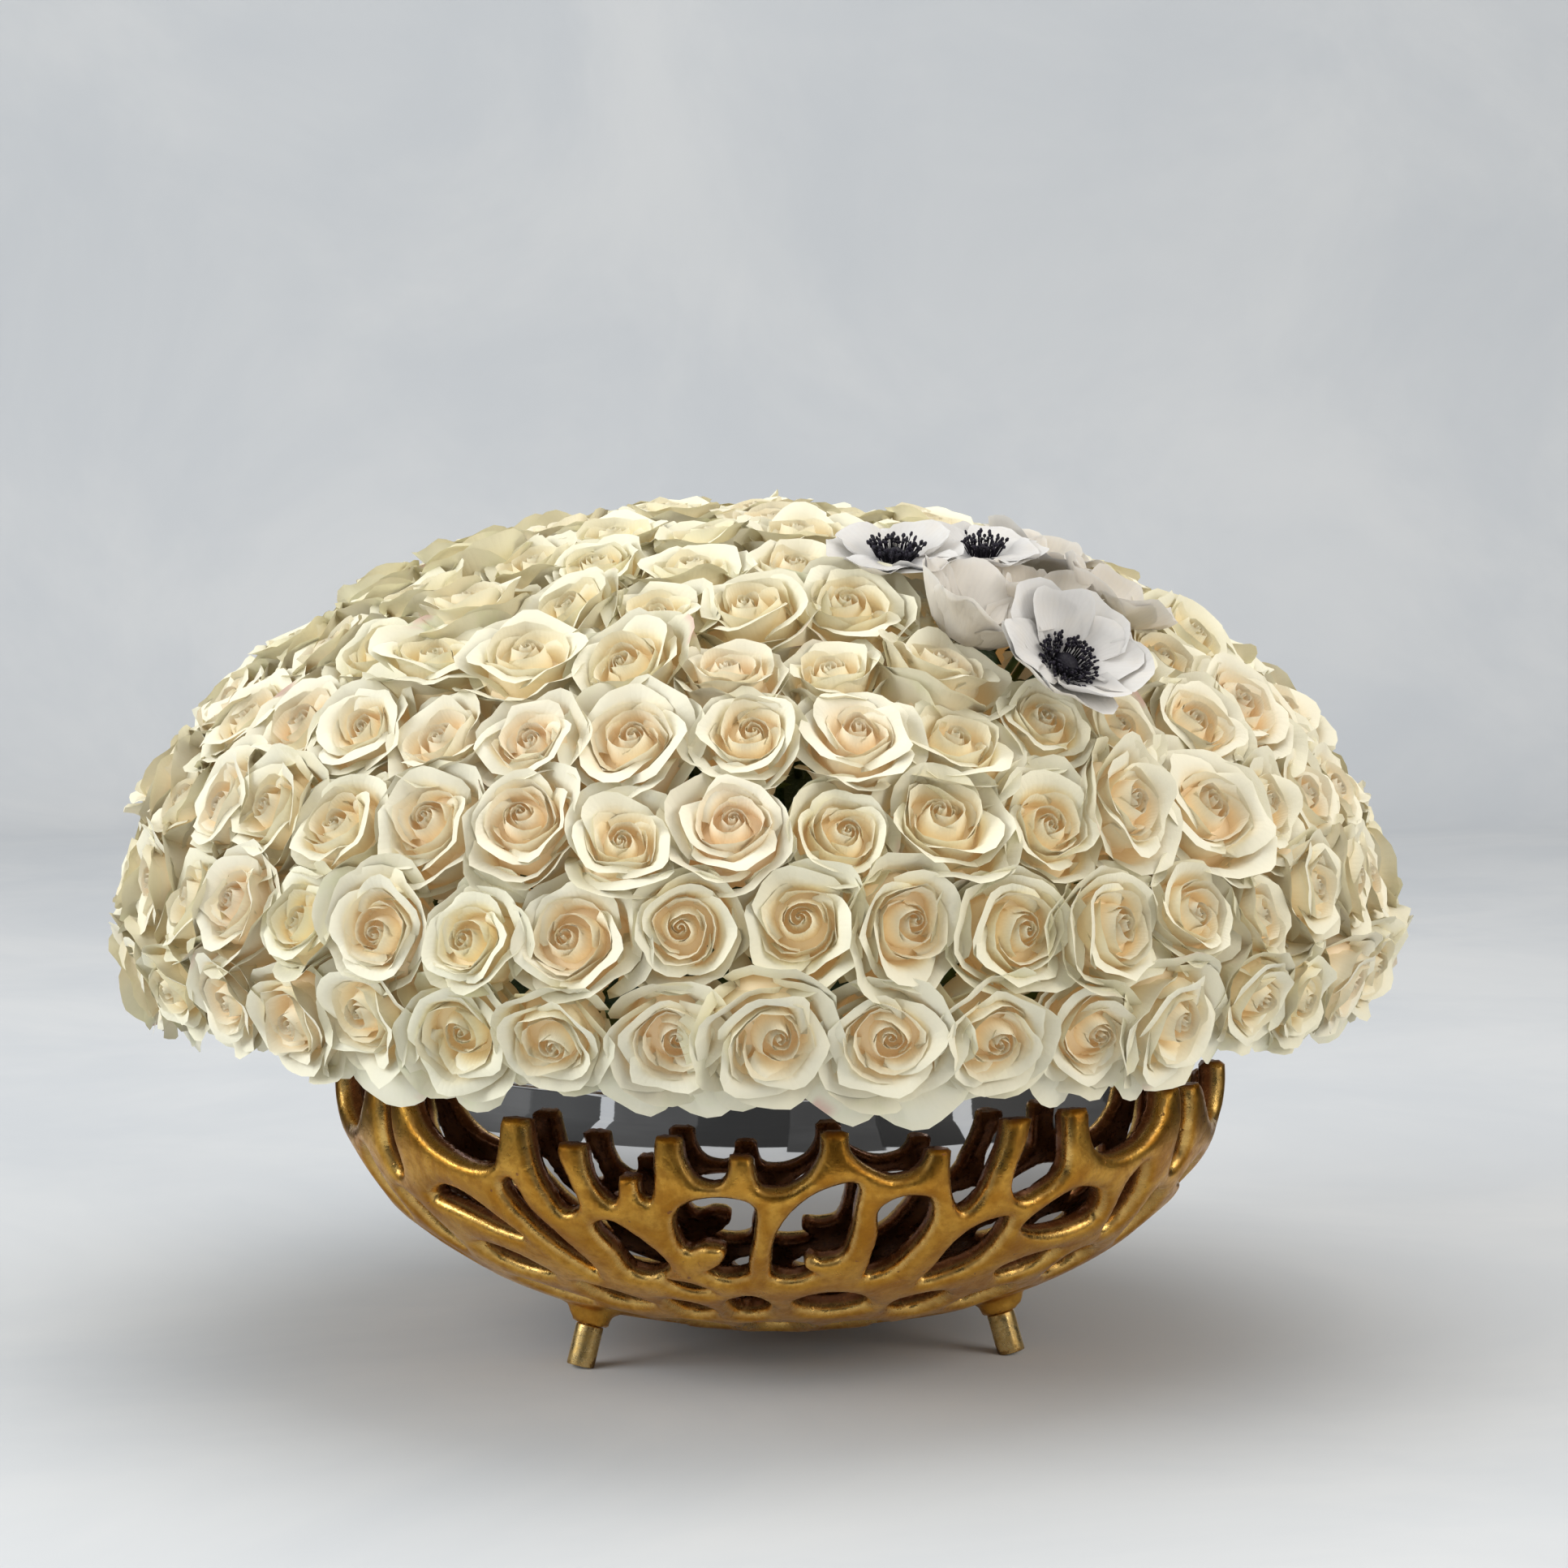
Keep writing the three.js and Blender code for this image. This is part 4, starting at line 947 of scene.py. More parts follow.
def petal(rng, turn, half, rim, height, length, base_lean, wall_lean, roll, side_roll, roll_from,
          corner, spiral, flat, wave, thick, across, levels, offset=0.0, point=0.0):
    """Points (mm) and faces of a petal; and for each point its level (0 base, 1 rim), whether it is on the
    inner face, its place across (-1 to 1), and whether it is on the margin.

    A petal is placed by its rim; with no rim given it grows from the axis, at the height given.
    """
    u = np.linspace(-1, 1, across + 1)
    s = np.linspace(0, 1, LINE_STEPS + 1)[:, None]
    lean_rim = roll + side_roll * np.abs(u) ** 1.6
    lean = (base_lean + (wall_lean - base_lean) * ease(s / 0.42)
            + (lean_rim - wall_lean) * ease((s - roll_from) / (1 - roll_from)) ** 1.2)
    lean = np.radians(lean) * np.ones_like(u)
    reach = length * (1 - corner * np.abs(u) ** 2.7 + point * np.exp(-(u / 0.22) ** 2))
    phase = rng.uniform(0, TURN, 3)
    ripple = wave * sum(share * np.sin(rate * u + start) for (share, rate), start in zip(RIPPLES, phase))
    r = np.vstack([np.zeros_like(u), np.cumsum(np.sin(lean[:-1]), 0) / LINE_STEPS]) * reach
    z = np.vstack([np.zeros_like(u), np.cumsum(np.cos(lean[:-1]), 0) / LINE_STEPS]) * reach
    at = np.rint(np.array(levels) * LINE_STEPS).astype(int)
    r0, z0 = r[:, across // 2].max(), z[:, across // 2].max()
    level = np.array(levels)[:, None]
    if rim is None:
        rim, z0 = r0 + 0.8, 0.0
    r = np.maximum(rim + r[at] - r0 + spiral * u + ripple * level ** 3, 0.35)
    z = height + z[at] - z0 + ripple[::-1] * 0.8 * level ** 4
    angle = math.radians(turn) + math.radians(half) * u
    r = r * (1 + flat * (1 / np.cos(np.radians(np.minimum(half, 60)) * u * 0.8) - 1) * level)
    x = offset * math.cos(math.radians(turn)) + r * np.cos(angle)
    y = offset * math.sin(math.radians(turn)) + r * np.sin(angle)
    back = np.stack([x, y, z], -1)
    du, dv = np.gradient(back, axis=1), np.gradient(back, axis=0)
    normal = np.cross(du, dv)
    normal /= np.maximum(np.linalg.norm(normal, axis=-1), 1e-6)[..., None]
    fat = thick * np.ones_like(r)
    fat[-2] *= RIM_THIN
    points, faces, number = closed_sheet(back, back - normal * fat[..., None])
    level, middle = (np.broadcast_to(values, r.shape) for values in (level, u))
    level, middle = (np.append(grid, grid[1:-1, 1:-1]) for grid in (level, middle))
    is_front = np.arange(len(points)) >= number.size
    margin = np.isin(np.arange(len(points)), [*number[0], *number[-1], *number[:, 0], *number[:, -1]])
    return points, faces, level, is_front, middle, margin

# %% [markdown]
# ## A rose head
# The petals of a rose follow one another round a spiral, each about 137.5 degrees on from the last and
# a little further out. The heart is a tight whorl in a cluster of short petals, a cup of taller ones
# stands round it, and the outer ones fall back. How far a head has opened, how its rings drift aside and
# how its rims roll differ from head to head, so twelve heads are made for the dome and six more, with
# guard petals that hang, for its lowest row. Each is used many times.

# %% Layers of a head, from the heart outwards (mm and degrees)
GOLDEN_TURN = 137.5
LAYERS = {
    "whorl": dict(
        petals=3, rims=(1.2, 3.4), heights=(-0.9, -0.7), sink=1.0, half=(165, 125), sheet=dict(
            length=10, base_lean=12, wall_lean=-14, roll=-8, side_roll=12, roll_from=0.80,
            spiral=0.9, offset=0.1, corner=0.14, wave=0.15, flat=0.0, thick=0.30,
            across=7, levels=(0, 0.62, 1))),
    "eye": dict(
        petals=5, rims=(5.8, 10.6), heights=(-1.2, -0.7), sink=1.4, half=(122, 96), sheet=dict(
            length=15, base_lean=22, wall_lean=-25, roll=-8, side_roll=26, roll_from=0.74,
            spiral=1.5, offset=0.5, corner=0.20, wave=0.4, flat=0.02, thick=0.32,
            across=8, levels=(0, 0.5, 0.82, 1))),
    "cup": dict(
        petals=4, rims=(12.6, 16.0), heights=(-0.9, -0.3), sink=1.6, half=(102, 90), sheet=dict(
            length=20, base_lean=34, wall_lean=-10, roll=26, side_roll=40, roll_from=0.74,
            spiral=2.1, offset=1.2, corner=0.28, wave=0.7, flat=0.05, thick=0.34,
            across=9, levels=(0, 0.5, 0.80, 1))),
    "bowl": dict(
        petals=3, rims=(19.6, 21.8), heights=(0.2, -0.6), sink=0.6, half=(96, 88), sheet=dict(
            length=28, base_lean=50, wall_lean=12, roll=84, side_roll=24, roll_from=0.64,
            spiral=2.6, offset=1.8, corner=0.34, wave=0.9, flat=0.06, thick=0.4,
            across=13, levels=(0, 0.42, 0.68, 0.85, 1))),
    "wall": dict(
        petals=3, rims=(25.4, 27.4), heights=(-2.6, -4.2), sink=-0.6, half=(88, 78), sheet=dict(
            length=38, base_lean=64, wall_lean=6, roll=70, side_roll=26, roll_from=0.64,
            spiral=2.8, offset=1.8, corner=0.36, wave=1.2, flat=0.08, thick=0.44,
            across=13, levels=(0, 0.40, 0.68, 0.85, 1))),
    "outer": dict(
        petals=3, rims=(28.0, 30.4), heights=(-5.5, -8.0), sink=-2.0, half=(74, 64), sheet=dict(
            length=46, base_lean=64, wall_lean=6, roll=62, side_roll=26, roll_from=0.66,
            spiral=2.4, offset=1.4, corner=0.38, wave=1.6, flat=0.12, thick=0.5,
            across=13, levels=(0, 0.40, 0.69, 0.85, 1))),
}
GUARD = dict(half=52, length=70, base_lean=70, wall_lean=44, roll=98, side_roll=22, roll_from=0.45,
             spiral=0.5, offset=0.8, corner=0.26, wave=1.8, flat=0.05, thick=0.5, across=12,
             levels=(0, 0.28, 0.46, 0.62, 0.76, 0.9, 1))
GUARD_APART, GUARD_HEIGHT, GUARD_RING, GUARD_REACH = 62, -12.5, 1.15, 35.5
HIP_DEPTH = 46.0


def part_way(ends, share):
    return ends[0] + (ends[1] - ends[0]) * share


def hip(drift):
    """The body under the rims: a turned form that shuts every gap between petals a few mm down."""
    profile = [(0, -HIP_DEPTH), (4, -HIP_DEPTH + 2), (13, -36), (20.5, -24), (18.5, -15.6), (12, -12.4),
               (5, -11.0), (0, -11.4)]
    points, faces = turned(profile, 8)
    points[:, :2] += drift * np.clip((points[:, 2:] + 30) / 24, 0, 1) * 0.6
    level = np.clip((points[:, 2] + 40) / 60, 0, 0.4)
    blank = np.zeros(len(points))
    return (points, faces, level, blank + 1, blank, blank > 1), 0.3


def rose_head(seed, opened, guards=0, reach=GUARD_REACH):
    """One head in its own frame: crown at z 0, out of the dome +z. Opened runs from 0 (bud) to 1."""
    rng = np.random.default_rng(seed)
    parts = []
    aside = rng.uniform(0, TURN)
    drift = np.array([math.cos(aside), math.sin(aside)]) * rng.uniform(2.2, 4.4) * (1.0 + 0.5 * opened)
    stretch = 1 + rng.uniform(-0.08, 0.08)
    start, hand = rng.uniform(0, 360), rng.choice([-1, 1])
    number, total = 0, sum(layer["petals"] for layer in LAYERS.values())
    for layer in LAYERS.values():
        sheet = layer["sheet"]
        for i in range(layer["petals"]):
            share = i / max(layer["petals"] - 1, 1)
            rim = part_way(layer["rims"], share)
            rim = rim * (1 + 0.12 * (opened - 0.5) * number / total) + rng.uniform(-0.04, 0.04) * rim ** 0.9
            height = part_way(layer["heights"], share) - layer["sink"] * (opened - 0.35)
            height += rng.uniform(-0.4, 0.4)
            changed = {"spiral": sheet["spiral"] * hand,
                       "wall_lean": sheet["wall_lean"] + 12 * (opened - 0.4),
                       "roll": sheet["roll"] * (0.66 + 0.42 * opened) + rng.uniform(-8, 8),
                       "point": rng.uniform(-0.01, 0.035)}
            turn = start + hand * GOLDEN_TURN * number + rng.uniform(-10, 10)
            made = petal(rng, turn, part_way(layer["half"], share), rim, height, **{**sheet, **changed})
            parts.append((made, number / (total - 1)))
            number += 1
    for g in range(guards):   # long guard petals that hang at the low side of the head
        turn = -90 + (g - (guards - 1) / 2) * GUARD_APART + rng.uniform(-10, 10)
        hang = petal(rng, turn, rim=reach + rng.uniform(-4, 2), height=GUARD_HEIGHT - g, **GUARD)
        parts.append((hang, GUARD_RING))
    parts.append(hip(drift))
    return parts, drift, stretch


def loosened(points, phase):
    """A gentle unevenness of the space round a head, so that no ring of rims stays a circle (mm)."""
    x, y, z = points.T
    away = np.minimum(np.hypot(x, y) / 14, 1.4)
    a = np.sin(0.17 * x + 0.09 * y + phase[0, 0]) + 0.6 * np.sin(0.31 * y - 0.11 * x + 0.1 * z + phase[0, 1])
    b = np.sin(0.16 * y - 0.10 * x + phase[1, 0]) + 0.6 * np.sin(0.29 * x + 0.13 * y + 0.1 * z + phase[1, 1])
    c = np.sin(0.20 * x + phase[2, 0]) * np.sin(0.20 * y + phase[2, 1])
    return np.stack([a * away, b * away, 1.5 * c * away], -1) * np.clip(1 + z / 40, 0, 1)[:, None]


def head_object(name, parts, drift, stretch):
    """The petals of a head as one mesh, with the marks that its finish reads and creased margins."""
    rng = np.random.default_rng(int(abs(drift[0]) * 1e6) % 9973)
    phase = rng.uniform(0, TURN, (3, 3))
    placed, marked = [], []
    for (p, faces, level, front, middle, margin), ring in parts:
        q = p.copy()
        q[:, :2] += drift * max(1 - ring * 1.1, 0)
        q[:, 0] *= stretch
        q[:, 1] /= stretch
        placed.append((q + loosened(q, phase), faces))
        marked.append(np.stack([level, np.full(len(p), ring), front, middle, margin]))
    points, faces = joined(placed)
    made = sheet_object(name, points * MM, faces)
    *marks, margin = np.hstack(marked)
    for key, values in zip(("level", "ring", "front", "middle"), marks):
        mark(made, key, values)
    ends = np.empty(len(made.data.edges) * 2, int)
    made.data.edges.foreach_get("vertices", ends)
    sharp = (margin[ends].reshape(-1, 2) > 0).all(1)   # a margin is a crease, not a round edge
    made.data.attributes.new("sharp_edge", "BOOLEAN", "EDGE").data.foreach_set("value", sharp)
    return made


# Each kind: seed, how far opened, guard petals, and how far out they hang.
HEAD_KINDS = [(11, 0.15, 0), (12, 0.35, 0), (13, 0.5, 0), (14, 0.65, 0), (15, 0.8, 0), (16, 1.0, 0),
              (17, 0.25, 0), (18, 0.45, 0), (19, 0.6, 0), (20, 0.9, 0), (21, 0.7, 0), (22, 0.4, 0)]
HANGING_KINDS = [(31, 0.5, 2), (32, 0.8, 3), (33, 0.3, 1), (34, 0.65, 2), (35, 0.6, 1, 47.0),
                 (36, 0.8, 2, 44.0)]
print("kinds of head:", len(HEAD_KINDS), "and hanging:", len(HANGING_KINDS))

# %% [markdown]
# ## Setting the heads in their rows
# A florist turns every rose a little as it goes in, so no two neighbours match. Each head becomes one
# point with its turn, its size, its kind and its tint as attributes, and a Geometry Nodes tree puts the
# chosen head on each point. The instances are made real, because only real mesh can leave Blender.

# %% A tree that sets chosen pieces on points
def planting_tree(name, finish_material):
    """Points with turn, size and kind attributes become the chosen pieces of a collection."""
    tree = bpy.data.node_groups.new(name, "GeometryNodeTree")
    wanted = [("Points", "Geometry"), ("Kinds", "Collection"), ("Size", "Float")]
    for label, kind in wanted:
        tree.interface.new_socket(label, in_out="INPUT", socket_type="NodeSocket" + kind)
    tree.interface.new_socket("Pieces", in_out="OUTPUT", socket_type="NodeSocketGeometry")
    bench = Bench(tree)
    given = bench.node("NodeGroupInput", out=None)
    points, kinds, size = (Amount(bench, given.outputs[label]) for label, _ in wanted)
    kept = {key: bench.node("GeometryNodeInputNamedAttribute", {"data_type": kind}, {"Name": key})
            for key, kind in (("turn", "FLOAT_VECTOR"), ("size", "FLOAT_VECTOR"), ("kind", "INT"))}
    shapes = bench.node("GeometryNodeCollectionInfo",
                        values={"Collection": kinds, "Separate Children": True, "Reset Children": True})
    scale = bench.node("ShaderNodeVectorMath", {"operation": "SCALE"}, {0: kept["size"], "Scale": size})
    placed = bench.node("GeometryNodeInstanceOnPoints", values={
        "Points": points, "Instance": shapes, "Pick Instance": True, "Instance Index": kept["kind"],
        "Rotation": bench.node("FunctionNodeEulerToRotation", values={0: kept["turn"]}), "Scale": scale})
    real = bench.node("GeometryNodeRealizeInstances", values={0: placed})
    done = bench.node("GeometryNodeSetMaterial", values={0: real, "Material": finish_material})
    bench.node("NodeGroupOutput", values={"Pieces": done}, out=None)
    return tree


def collection_of(name, objects):
    """An unlinked collection whose members are picked in the order given."""
    made = bpy.data.collections.new(name)
    for piece in objects:
        made.objects.link(piece)
        for holder in list(piece.users_collection):
            if holder != made:
                holder.objects.unlink(piece)
    return made


def turned_frame(frame, *turns):
    """A frame turned about its own axes, one after another."""
    made = Matrix(frame.tolist())
    for angle, axis in turns:
        made = made @ Matrix.Rotation(angle, 3, axis)
    return np.array(made)


def place_at(at, frame, kind=0, size=(1.0, 1.0, 1.0), tint=0.0, blush=0.0):
    """One place for a tree to set a piece on: where (mm), how it stands, and what it is given."""
    return dict(at=at, out=frame[:, 2], turn=tuple(Matrix(frame.tolist()).to_euler()), kind=int(kind),
                size=size, tint=float(tint), blush=float(blush))


def planted(name, tree, kinds, places, size=1.0):
    """The real mesh of a tree run on places."""
    base = sheet_object(name, [Vector(p["at"]) * MM for p in places], [], smooth=False)
    for key, kind in (("turn", "FLOAT_VECTOR"), ("size", "FLOAT_VECTOR"), ("kind", "INT"),
                      ("tint", "FLOAT"), ("blush", "FLOAT")):
        made = base.data.attributes.new(key, kind, "POINT")
        field = "vector" if kind == "FLOAT_VECTOR" else "value"
        made.data.foreach_set(field, np.ravel([p[key] for p in places]))
    modifier = base.modifiers.new("planting", "NODES")
    modifier.node_group = tree
    for item in tree.interface.items_tree:
        if item.in_out == "INPUT" and item.name in ("Kinds", "Size"):
            modifier[item.identifier] = kinds if item.name == "Kinds" else size
    mesh = bpy.data.meshes.new_from_object(base.evaluated_get(bpy.context.evaluated_depsgraph_get()))
    base.modifiers.clear()
    mesh.name = name
    base.data = mesh
    for key in ("turn", "size", "kind"):
        if key in mesh.attributes:
            mesh.attributes.remove(mesh.attributes[key])
    return base


def forget(collection):
    """The pieces given to a tree are removed once it has run."""
    for piece in list(collection.objects):
        bpy.data.objects.remove(piece)
    bpy.data.collections.remove(collection)

# %% [markdown]
# ## Rose petals
# A cream rose is not one colour. The rims are almost white, the walls cream, and deep in the head, where
# light has passed through several petals, it is peach. The outermost petals are whiter or faintly green,
# with fine veins that fan towards the rim. Some light passes through a petal and gathers low in the head;
# a very faint warm glow painted on there stands in for it and lifts the shade deep in the head.

# %% Petal finish
rose_petal, bench, shader = finish("rose_petal", constants={
    "Emission Strength": 1.0, "Specular IOR Level": 0.35, "Sheen Weight": 0.12, "Sheen Roughness": 0.45})
level, ring, front, middle, tint, blush = (
    bench.attribute(name) for name in ("level", "ring", "front", "middle", "tint", "blush"))
cloud = bench.noise(55, 2.0, 0.6)
fine = bench.noise(900, 1.0, 0.6)
veins = bench.maths("ABSOLUTE", bench.maths("SINE", middle * 34 + cloud * 3.0))
deep = bench.mix(tint, (0.92, 0.755, 0.52), (0.91, 0.78, 0.50))
warm = bench.mix(tint, (0.90, 0.80, 0.59), (0.89, 0.82, 0.57))
heart = bench.mix(bench.between(level, 0.40, 0.95), deep, warm)
inner = bench.mix(tint, (0.90, 0.77, 0.51), (0.88, 0.79, 0.49))
outer = bench.mix(tint, (0.88, 0.785, 0.55), (0.85, 0.79, 0.52))
wall = bench.mix(bench.between(level, 0.25, 0.88), inner, outer)
colour = bench.mix(bench.between(ring, 0.15, 0.9), heart, wall)
colour = bench.mix(blush * 0.35, colour, (0.94, 0.76, 0.61))
pale = bench.between(level + (cloud - 0.5) * 0.25 + ring * 0.16, 0.60, 1.06)
pale = pale * bench.between(front, 0.0, 1.0, 0.80, 1.0)
colour = bench.mix(pale * bench.between(ring, 0.3, 0.8, 0.30, 0.88), colour, (0.835, 0.81, 0.655))
colour = bench.mix(bench.between(level, 0.90, 1.0) * 0.45, colour, (0.845, 0.81, 0.625))
# Painted light: the petals glow faintly warm low in the head, where they are in shade.
depth = bench.between(level, 0.50, 0.97, 1.0, 0.0)
through = bench.mix(depth, (0.004, 0.0035, 0.002), (0.060, 0.040, 0.019))    # light that comes through
green = bench.between(ring, 0.80, 0.98) * bench.between(cloud, 0.45, 0.75) * tint
colour = bench.mix(green * 0.55, colour, (0.70, 0.74, 0.42))
spots = bench.between(bench.noise(24, 1.0), 0.70, 0.76) * bench.between(level, 0.9, 1.0)
spots = spots * bench.between(ring, 0.7, 0.9)
colour = bench.mix(spots * 0.5, colour, (0.62, 0.22, 0.22))
colour = bench.mix((1 - veins) * 0.05 * bench.between(ring, 0.5, 0.9), colour, (0.80, 0.76, 0.58))
shader["Base Color"] = colour
shader["Emission Color"] = through
shader["Roughness"] = bench.between(fine, 0.3, 0.7, 0.46, 0.62)
bumped(bench, shader, veins * 0.22 + fine * 0.3 + cloud * 1.2, 0.0007, 0.3)
rose_petal.cycles.emission_sampling = "NONE"
print("petal finish nodes:", len(rose_petal.node_tree.nodes))

# %% Roses in every group
TILT, MOST_TILT, SIZE, SIZE_SPREAD = 8.0, 12, 1.11, 0.12
head_kinds = collection_of("head_kinds", [
    head_object(f"head_{i:02d}", *rose_head(*kind)) for i, kind in enumerate(HEAD_KINDS + HANGING_KINDS)])
rose_tree = planting_tree("rose_planting", rose_petal)
rng = np.random.default_rng(41)
stems = []
TINT_OF_ROW = [0.8, 0.8, 0.8, 0.8, 0.75, 0.6, 0.25, 0.2, 0.6, 0.55]     # 0 peach, 1 faintly green
LOW_PETALS = (326.4, 353.4, 11.4, 74.4, 119.4, 191.4, 227.4, 281.4)     # heads whose petals hang lowest


def rose_places(spots):
    """Each head turned at random about its axis and tipped a little, at its place in its row."""
    places = []
    for row, azimuth in spots:
        frame, crown = head_frame(row, azimuth)
        kind = rng.integers(len(HEAD_KINDS))
        spin, size = rng.uniform(0, TURN), SIZE * (1 + rng.uniform(-1, 1) * SIZE_SPREAD)
        if row == ROWS_OF_ROSES:           # the lowest row hangs over the bowl, guard petals down
            kind = len(HEAD_KINDS) + rng.integers(4)
            if round(azimuth, 1) in LOW_PETALS:
                kind = len(HEAD_KINDS) + 4 + rng.integers(2)
            spin = rng.uniform(-0.25, 0.25)
        tip = np.radians(rng.normal(0, TILT, 2).clip(-MOST_TILT, MOST_TILT))
        tipped = turned_frame(frame, (tip[0], "X"), (tip[1], "Y"), (spin, "Z"))
        at = crown + frame @ (rng.uniform(-4, 4), rng.uniform(-4, 4), -0.5 - rng.uniform(0, 6.0))
        places.append(place_at(at, tipped, kind, (size, size, size),
                               np.clip(rng.normal(TINT_OF_ROW[row], 0.22), 0, 1), rng.uniform() ** 2.2))
        stems.append((at + tipped @ (0, 0, -HIP_DEPTH * size), row, azimuth))
    return places


# One more head is pushed in where the anemones leave a hole, a little deeper than its neighbours.
FILLERS = {"roses_row_4_arc_3": (4, 1.62, 5)}     # solid: row, slot, mm deeper

total = 0
for node, spots in groups.items():
    places = rose_places(spots)
    if node in FILLERS:
        row, slot, sunk = FILLERS[node]
        extra = rose_places([(row, slot_azimuth(row, slot))])[0]
        extra["at"] = extra["at"] - extra["out"] * sunk
        places.append(extra)
    roses = planted(node.replace("roses", "rose_heads"), rose_tree, head_kinds, places)
    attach(roses, "root")
    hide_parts(node)
    total += sum(len(f.vertices) - 2 for f in roses.data.polygons)
print("roses:", len(stems), "triangles:", total)
forget(head_kinds)

# %% [markdown]
# ## Anemones
# A few anemones stand among the roses. Each is a cup of broad, thin, cool white petals in two rounds, with
# a black button in the middle and a wide ring of dark stamens round it. The petals are the same bent
# sheets as the roses', only flatter. Three of the flowers face outwards and show their hearts; the others
# are half hidden behind them. The stamens repeat by the dozen, so a tree plants them.

# %% How each anemone stands: place off its slot and size (mm), where it faces and its cup's lean (degrees)
FLOWERS = [
    dict(off=(0, -21, 2), faces=(30, 42), size=37, cup=58, heart=1.0),
    dict(off=(-7, -14, -2), faces=(4, 71), size=30, cup=76, heart=0.75),
    dict(off=(-4, -10, -3), faces=(10, 73), size=28, cup=74, heart=0.5),
    dict(off=(-4, -22, -18), faces=(60, 64), size=43, cup=44, heart=0.6),
    dict(off=(0, -10, -17), faces=(80, 72), size=34, cup=50, heart=0.6),
    dict(off=(-8, -16, -16), faces=(84, 60), size=36, cup=50, heart=0.6),
    dict(off=(0, -8, -17), faces=(40, 74), size=34, cup=48, heart=0.6),
]


def facing(azimuth, elevation):
    """A frame whose third column points at an azimuth and an elevation."""
    level, along = outward(np.float64(azimuth)), outward(np.float64(azimuth + 90))
    lift = math.radians(elevation)
    out = level * math.cos(lift) + (0, 0, math.sin(lift))
    return np.stack([along, np.cross(out, along), out], -1)


# %% Anemone shapes
WHORLS = [(4, 0.93, 0.5), (5, 1.0, -1.0)]       # petals, their reach as a share, and height (mm)
WHORL_TURN, PETAL_STRETCH = 38, 1.22
ANEMONE_SHEET = dict(base_lean=86, side_roll=6, roll_from=0.5, corner=0.46, spiral=0.8, wave=1.3, flat=0.05,
                     thick=0.35, across=13, levels=(0, 0.24, 0.48, 0.70, 0.87, 1))


def anemone_petals(flower, seed):
    rng = np.random.default_rng(seed)
    parts, start = [], rng.uniform(0, 360)
    for whorl, (count, reach, height) in enumerate(WHORLS):
        for i in range(count):
            turn = start + whorl * WHORL_TURN + 360 * i / count + rng.uniform(-7, 7)
            length = flower["size"] * PETAL_STRETCH * reach * rng.uniform(0.94, 1.05)
            lean = flower["cup"] + rng.uniform(-5, 5)
            made = petal(rng, turn, half=rng.uniform(47, 54), rim=None, height=height, length=length,
                         wall_lean=lean, roll=lean + rng.uniform(-34, 4), point=rng.uniform(-0.05, 0.0),
                         **ANEMONE_SHEET)
            parts.append((made, 0.5 * whorl))
    return parts


def stamen(tall):
    """A thread with a swollen dark tip, standing on the origin (mm)."""
    profile = [(0, 0), (0.30, 0.2), (0.24, tall * 0.77), (0.95, tall * 0.86), (0.6, tall * 0.97), (0, tall)]
    return turned(profile, 4)


def heart_button(radius):
    """The black button: a low dome with a knobbly skin."""
    profile = [(0, -3.0), (radius * 0.8, -2.6), (radius, 0.4), (radius * 0.92, 2.6), (radius * 0.72, 4.4),
               (radius * 0.42, 5.6), (radius * 0.16, 6.0), (0, 6.1)]
    points, faces = turned(profile, 24)
    knobs = np.sin(points[:, 0] * 3.1) * np.sin(points[:, 1] * 3.1 + 1) * 0.5
    return points + knobs[:, None] * (points - (0, 0, 1)) / radius * 0.6, faces


# %% Anemone finishes
anemone_petal, bench, shader = finish("anemone_petal", constants={
    "Subsurface Weight": 0.2, "Subsurface Radius": (0.004, 0.004, 0.0042), "Subsurface Scale": 1.0,
    "Specular IOR Level": 0.35, "Sheen Weight": 0.2, "Sheen Roughness": 0.4})
level, middle, tint = bench.attribute("level"), bench.attribute("middle"), bench.attribute("tint")
cloud = bench.noise(70, 4.0, 0.6)
veins = bench.maths("ABSOLUTE", bench.maths("SINE", middle * 30 + cloud * 5.0))
# The petal is a darker grey low down and white towards its rim: partly a faint cool tint at its base, partly
# painted shade deep in the cup.
colour = bench.mix(bench.between(level, 0.10, 0.55), (0.44, 0.43, 0.45), (0.70, 0.68, 0.65))
colour = bench.mix(bench.between(cloud, 0.4, 0.75) * 0.4, colour, (0.74, 0.68, 0.58))
# Painted reflected light: the tint mark turns the half-hidden flowers cream, for the light that the roses
# round them throw on them.
colour = bench.mix(tint * 0.7, colour, (0.78, 0.68, 0.52))
colour = bench.mix((1 - veins) * 0.08, colour, (0.54, 0.51, 0.51))
colour = bench.mix(bench.between(level, 0.9, 1.0) * 0.4, colour, (0.78, 0.77, 0.74))
shader["Base Color"] = colour
shader["Roughness"] = bench.between(cloud, 0.3, 0.7, 0.42, 0.6)
bumped(bench, shader, veins * 0.16 + cloud * 1.0, 0.0006, 0.3)

anemone_heart, bench, shader = finish("anemone_heart", constants={"Specular IOR Level": 0.35})
dust, tint = bench.noise(900, 2.0, 0.6), bench.attribute("tint")
dark = bench.mix(tint, (0.004, 0.003, 0.008), (0.014, 0.010, 0.024))
colour = bench.mix(bench.between(dust, 0.60, 0.70) * 0.4, dark, (0.05, 0.04, 0.06))
shader["Base Color"] = colour
shader["Roughness"] = bench.between(dust, 0.3, 0.7, 0.45, 0.8)
bumped(bench, shader, dust, 0.0005, 0.5)
print("anemone finishes ready")

